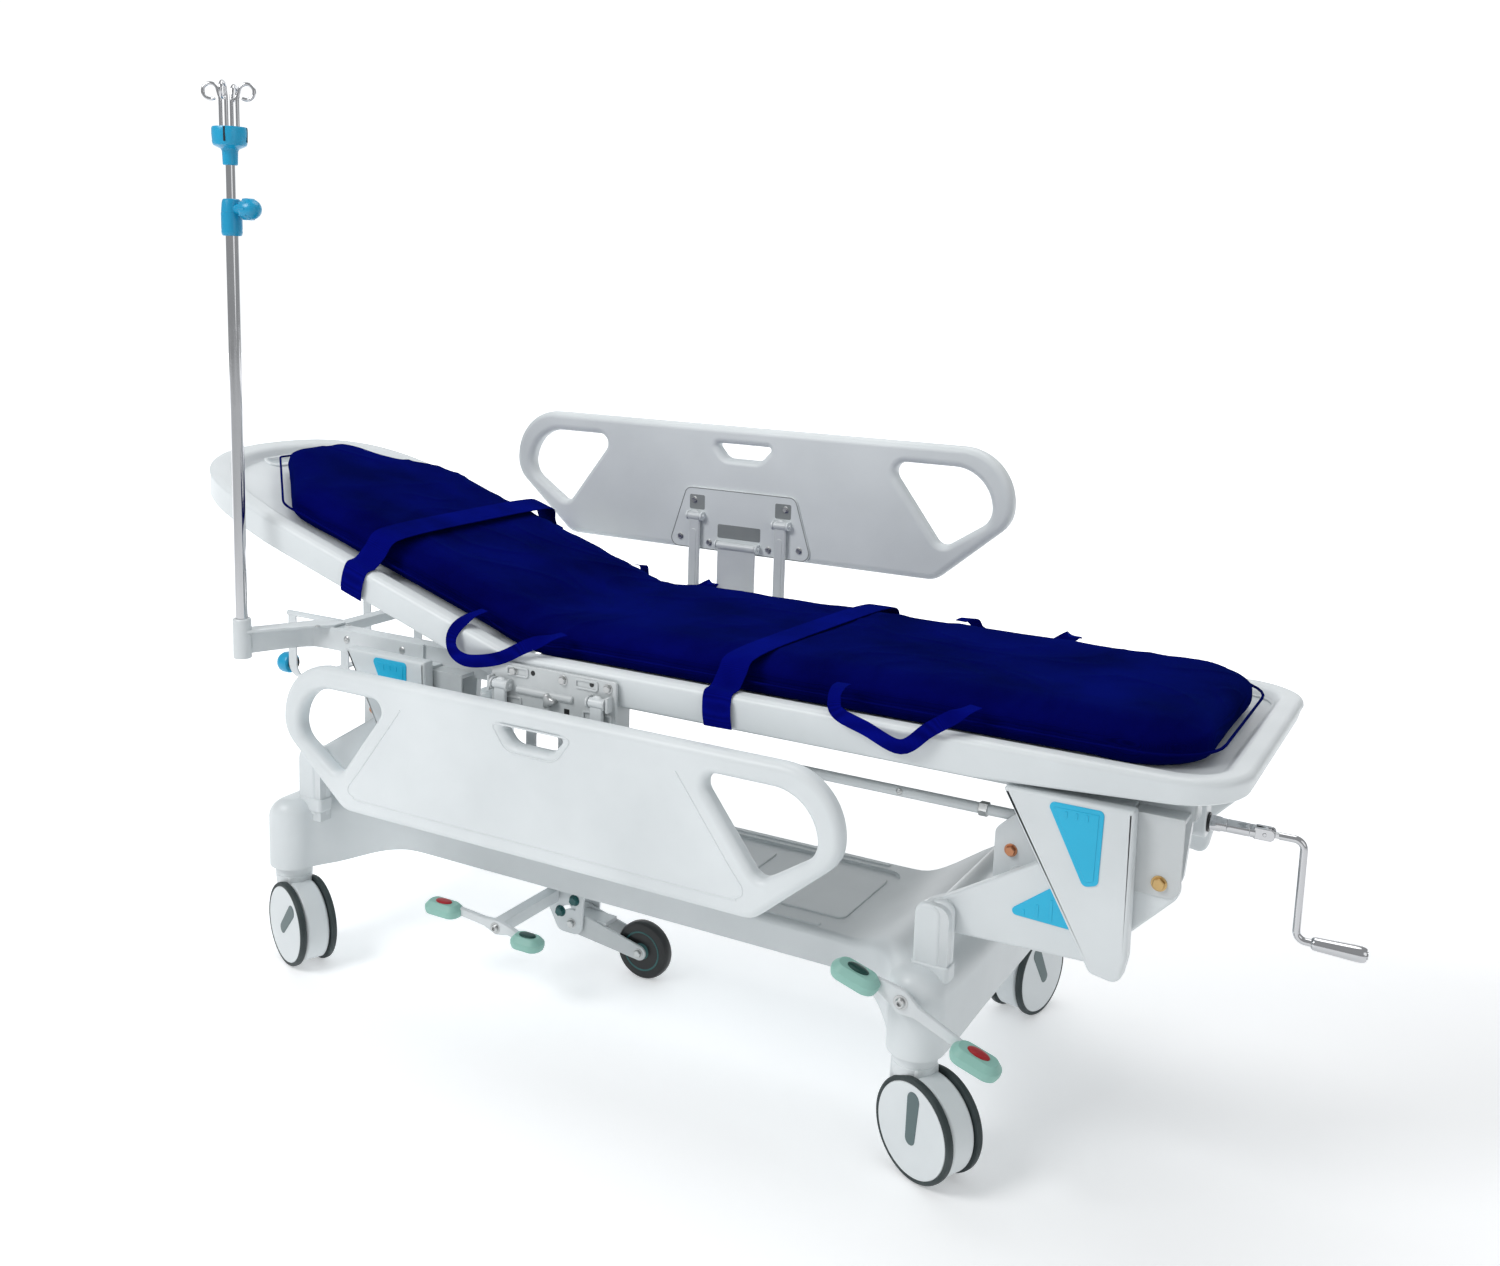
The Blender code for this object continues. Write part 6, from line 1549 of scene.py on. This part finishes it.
# ---------------------------------------------------------------- infusion pole
def make_pole():
    """The infusion pole: tube, collar, knob, rod, cup and four wire hooks."""
    top = FRAME_TOP + 0.0252
    base = Vector((POLE_X, POLE_Y, 0))
    up = (0, 0, 1)
    root_x = FRAME_HEAD_X + 0.0462
    gusset = rounded([(root_x, -0.1919, 0), (FRAME_HEAD_X, -0.1919, 0),
                      (POLE_X - 0.0118, POLE_Y + 0.0101, 0), (POLE_X + 0.0101, POLE_Y - 0.0118, 0),
                      (FRAME_HEAD_X + 0.0126, -0.2604, 0.0336), (root_x, -0.2197, 0)], 8)
    socket = lathe([(0.5561, 0.0105), (0.5561, 0.015), (0.5575, 0.016), (top - 0.002, 0.016), (top, 0.0145),
                    (top, 0.0109), (0.5625, 0.0109)], base, up, 48)
    bar = smooth_path([(-0.345, -0.2228, 0), (-0.46, -0.2228, 0), (-0.575, -0.2228, 0), (-0.604, -0.232, 0),
                       (-0.624, -0.262, 0), (-0.6535, -0.3256, 0)], 8)
    side_bar = moved(band(bar, (0, 0, 1), 0.0405, 0.0048), Matrix.Translation((0, 0, 0.5824)))
    parts = [slab([gusset], "Z", FRAME_TOP + 0.0004, FRAME_TOP + 0.005, 0.0012), socket, side_bar]
    show("pole_socket", joined(*parts), PAINT, "upper_frame", ["pole_bracket"])
    show("pole_socket_screws", joined(pan_screw((-0.533, -0.206, FRAME_TOP + 0.005), up, 0.0048),
                                      pan_screw((-0.57, -0.244, FRAME_TOP + 0.005), up, 0.0048)), ZINC,
         "upper_frame")

    tube_wall = [(0.5628, 0.0095), (0.5638, 0.0105), (POLE_TOP, 0.0105), (POLE_TOP, 0.0082),
                 (0.6048, 0.0082)]
    show("pole_tube", lathe(tube_wall, base, up, 64), CHROME, "pole_lower", ["pole_lower"])
    collar = [(0, 0.0109), (0, 0.0148), (0.0015, 0.0162), (0.006, 0.0172), (0.010, 0.0168), (0.012, 0.0172),
              (0.0378, 0.0172), (0.0385, 0.0165), (0.0395, 0.0168), (0.0521, 0.0158), (0.0585, 0.0146),
              (0.0604, 0.0125), (0.0604, 0.0082), (0.0515, 0.0082)]
    knob_z = COLLAR_HIGH - 0.0168
    boss = lathe([(0.008, 0.0092), (0.0236, 0.0092), (0.0244, 0.0084), (0.0244, 0.0042)],
                 (POLE_X, POLE_Y, knob_z), (1, 0, 0), 40)
    show("pole_clamp_collar", joined(lathe(collar, base + Vector((0, 0, COLLAR_LOW)), up, 56), boss), SKY,
         "pole_lower", ["pole_collar"])
    turned = [(0.0134, 0.0038), (0.0280, 0.0038), (0.0280, 0.0125), (0.0295, 0.0146), (0.0326, 0.0166),
              (0.0380, 0.0176), (0.0443, 0.0176), (0.0505, 0.0164), (0.0560, 0.0138), (0.0600, 0.0098),
              (0.0620, 0.0050), (0.0622, 0.0)]
    knob = lathe(turned, (POLE_X, POLE_Y, knob_z), (1, 0, 0), 64)
    grips = []
    for k in range(10):
        a = 2 * math.pi * k / 10
        here = Vector((POLE_X, POLE_Y + 0.0166 * math.cos(a), knob_z + 0.0166 * math.sin(a)))
        grips.append(tube([here + Vector((0.032, 0, 0)), here + Vector((0.040, 0, 0)),
                           here + Vector((0.0475, 0, 0))], [0.0016, 0.0021, 0.0015], 8))
    show("pole_clamp_knob", joined(knob, *grips), SKY, "pole_knob", ["pole_knob"])

    show("pole_rod", rod((POLE_X, POLE_Y, top + 0.0084), (POLE_X, POLE_Y, CUP_LOW + 0.0252), 0.0077, 0.001,
                         48), CHROME, "pole_upper", ["pole_upper"])
    cup = [(0.0, 0.0079), (0, 0.0112), (0.0012, 0.0122), (0.0225, 0.0130), (0.0262, 0.0150),
           (0.0296, 0.0225), (0.0315, 0.0262), (0.0345, 0.0277), (0.0504, 0.0290), (0.0585, 0.0288),
           (CUP_HIGH - CUP_LOW, 0.0275), (CUP_HIGH - CUP_LOW, 0.0225), (0.034, 0.0222), (0.033, 0.0)]
    foot = Vector((POLE_X, POLE_Y, CUP_LOW))
    shell = lathe(cup, foot, up, 64)
    hub = rod(foot + Vector((0, 0, 0.0294)), foot + Vector((0, 0, CUP_HIGH - CUP_LOW - 0.0034)), 0.0067)
    # Painted shade: four black blocks on the cup, standing in for the shade inside its hook slots.
    slot_shade = []
    for k in range(4):
        mark = block((0.0262, -0.0016, 0.037), (0.0294, 0.0016, 0.0605), 0.0006)
        slot_shade.append(moved(mark, placed(foot, HOOK_FIRST_DEG + 90 * k)))
    show("pole_hook_cup", joined(shell, hub), SKY, "pole_upper", ["pole_cup"])
    show("pole_cup_slot_shade", joined(*slot_shade), BLACK, "pole_upper")
    for k in range(4):
        pivot = placed((POLE_X, POLE_Y, HOOK_PIVOT_Z), HOOK_FIRST_DEG + 90 * k)
        turn = pivot @ Matrix.Translation((HOOK_OFFSET, 0, 0))
        eye_x, eye_z = HOOK_EYE
        path = [(0, 0, -0.0034), (0, 0, 0.02), (0, 0, eye_z - 0.0185), (0.0003, 0, eye_z - 0.0101)]
        for step in range(29):
            a = math.radians(155 - 10 * step)
            path.append((eye_x + HOOK_EYE_RADIUS * math.cos(a), 0, eye_z + HOOK_EYE_RADIUS * math.sin(a)))
        hook = tube(path, 0.0031, 14)
        show(f"pole_wire_hook_{k + 1}", moved(hook, turn), CHROME, f"pole_hook_{k + 1}",
             [f"pole_hook_{k + 1}"], 60)


# ---------------------------------------------------------------- crank
def make_crank():
    """The crank: its bearing, sleeve, arm and spinning grip."""
    x0, x1 = 0.9005, 0.937
    block_outline = rounded([(CRANK_Y - 0.0168, 0.5023, 0.0101), (CRANK_Y + 0.0168, 0.5023, 0.0101),
                             (CRANK_Y + 0.0168, 0.5674, 0), (CRANK_Y - 0.0168, 0.5674, 0)])
    show("crank_block", slab([block_outline, circle((CRANK_Y, CRANK_Z), 0.0072, 32)], "X", x0, x1, 0.002),
         PAINT, "upper_frame", ["crank_bearing"])
    show("crank_block_bolts", joined(hex_bolt((0.917, CRANK_Y - 0.0168, 0.551), (0, -1, 0), 0.0105, 0.0045),
                                     hex_bolt((0.917, CRANK_Y + 0.0168, 0.551), (0, 1, 0), 0.0105, 0.0045)),
         ZINC, "upper_frame")
    show("crank_block_ring", lathe([(x1 - 0.001, 0.0072), (x1 - 0.001, 0.0135), (x1 + 0.0025, 0.0135),
                                    (x1 + 0.0025, 0.0072)], (0, CRANK_Y, CRANK_Z), (1, 0, 0), 40), BLACK,
         "upper_frame")
    turned = [(0.8568, 0.0114), (0.8576, 0.0122), (0.8786, 0.0122), (0.8786, 0.0067), (x1 + 0.003, 0.0067),
              (x1 + 0.003, 0.0098), (x1 + 0.004, 0.0105), (0.9534, 0.0105), (0.9559, 0.0092),
              (0.9615, 0.0092), (0.9625, 0.0086), (0.9635, 0.0092), (0.9915, 0.0092), (0.9925, 0.0086),
              (0.9935, 0.0092), (CRANK_FOLD_X - 0.0118, 0.0092)]
    sleeve = lathe(turned, (0, CRANK_Y, CRANK_Z), (1, 0, 0), 48)
    cheeks = []
    for side in (-1, 1):
        cheek = rounded([(CRANK_FOLD_X - 0.014, CRANK_Z - 0.0084, 0.001),
                         (CRANK_FOLD_X + 0.0126, CRANK_Z - 0.0084, 0.006),
                         (CRANK_FOLD_X + 0.0126, CRANK_Z + 0.0084, 0.006),
                         (CRANK_FOLD_X - 0.014, CRANK_Z + 0.0084, 0.001)], 5)
        cheeks.append(slab([cheek], "Y", CRANK_Y + side * 0.0036, CRANK_Y + side * 0.0082, 0.0012))
    pin = rod((CRANK_FOLD_X, CRANK_Y - 0.0092, CRANK_Z), (CRANK_FOLD_X, CRANK_Y + 0.0092, CRANK_Z), 0.0028)
    show("crank_shaft", joined(sleeve, *cheeks, pin), CHROME, "crank_sleeve", ["crank_sleeve"])

    eye = slab([circle((CRANK_FOLD_X, CRANK_Z), 0.008, 36), circle((CRANK_FOLD_X, CRANK_Z), 0.0029, 20)],
               "Y", CRANK_Y - 0.0032, CRANK_Y + 0.0032, 0.0008)
    neck = block((CRANK_FOLD_X + 0.005, CRANK_Y - 0.0032, CRANK_Z - 0.0038),
                 (CRANK_FOLD_X + 0.0212, CRANK_Y + 0.0032, CRANK_Z + 0.0038), 0.001)
    bend_x, low_z, bend = 1.0618, CRANK_Z - CRANK_THROW, 0.013
    path = [(CRANK_FOLD_X + 0.0176, CRANK_Z)]
    quarter = [math.pi / 2 * k / 10 for k in range(11)]
    path += [(bend_x - bend + bend * math.sin(a), CRANK_Z - bend + bend * math.cos(a)) for a in quarter]
    path += [(bend_x + bend - bend * math.cos(a), low_z + bend - bend * math.sin(a)) for a in quarter]
    path += [(1.1525, low_z)]
    rod_mesh = tube([(x, CRANK_Y, z) for x, z in path], 0.0052, 24)
    show("crank_rod", joined(eye, neck, rod_mesh), CHROME, "crank_arm", ["crank_arm"], 50)
    turned = [(1.0819, 0.0056), (1.0819, 0.0068), (1.0835, 0.0083), (1.0865, 0.0092), (1.11, 0.0101),
              (1.1357, 0.0112), (1.1440, 0.0111), (1.1480, 0.0101), (1.1506, 0.0084), (1.1512, 0.0056)]
    show("crank_handle", lathe(turned, (0, CRANK_Y, low_z), (1, 0, 0), 48), CHROME, "crank_grip",
         ["crank_grip"])


# ---------------------------------------------------------------- cylinder cradle under the head end
def make_cradle():
    """The wire rack under the head end, with its clamp knob."""
    top = FRAME_BOTTOM + 0.0168
    parts = []
    for y in (-0.1008, 0.1008):
        parts.append(rod((FRAME_HEAD_X - 0.0003, y, top - 0.0034), (-0.7896, y, top - 0.0034), 0.0055,
                         0.001, 28))
    for x in (-0.777, -0.6426):
        bottom, half = 0.4368, 0.1042
        turn = [math.pi / 2 * k / 10 for k in range(11)]
        path = [(x, -half + 0.0017, top)] + [(x, -half + 0.042 - 0.0403 * math.cos(a),
                                              bottom + 0.042 - 0.0403 * math.sin(a)) for a in turn]
        path += [(x, half - 0.042 + 0.0403 * math.sin(a), bottom + 0.042 - 0.0403 * math.cos(a))
                 for a in turn] + [(x, half - 0.0017, top)]
        parts.append(band(path, (1, 0, 0), 0.0202, 0.0034))
    parts.append(rod((-0.7829, 0.0, 0.4435), (-0.6367, 0.0, 0.4435), 0.0046, 0.0008, 24))
    show("cradle", joined(*parts), PAINT, "upper_frame", ["cylinder_cage"], 40)
    knob = [(0, 0.0084), (0.005, 0.0084), (0.005, 0.016), (0.0065, 0.0186), (0.0101, 0.0202),
            (0.0225, 0.0202), (0.0265, 0.0192), (0.0325, 0.0155), (0.0368, 0.009), (0.0386, 0.0)]
    centre = (-0.7874, -0.0882, 0.4704)
    show("cradle_knob", lathe(knob, centre, (-1, 0, 0), 56), SKY, "upper_frame",
         ["cage_knob"])
    show("cradle_knob_ring", lathe([(0.0, 0.008), (0.0, 0.0125), (0.0045, 0.0125), (0.0045, 0.008)], centre,
                                   (-1, 0, 0), 40), BLACK, "upper_frame")
    show("cradle_bolts", joined(hex_bolt((-0.777, -0.1042, 0.53), (0, -1, 0), 0.010, 0.004),
                                hex_bolt((-0.6426, -0.1042, 0.53), (0, -1, 0), 0.010, 0.004)), ZINC,
         "upper_frame")


def finish_cad_nodes():
    """Gives each CAD solid that stays in view its own finish."""
    finishes = {"base_frame": PAINT, "upper_frame": PAINT}
    for name, obj in frame["nodes"].items():
        obj.data.materials.clear()
        obj.data.materials.append(finishes.get(name, WHITE))


def main():
    """Makes the camera and the studio, then every piece."""
    make_camera()
    make_studio()
    finish_cad_nodes()
    make_base()
    for name in CASTORS:
        make_castor(name)
    make_fifth_wheel()
    make_pedals()
    make_lift()
    make_deck()
    make_frame_details()
    make_mattress()
    make_straps()
    make_handles()
    make_rail(-1, "near", False)
    make_rail(1, "far", True)
    make_pole()
    make_crank()
    make_cradle()


main()
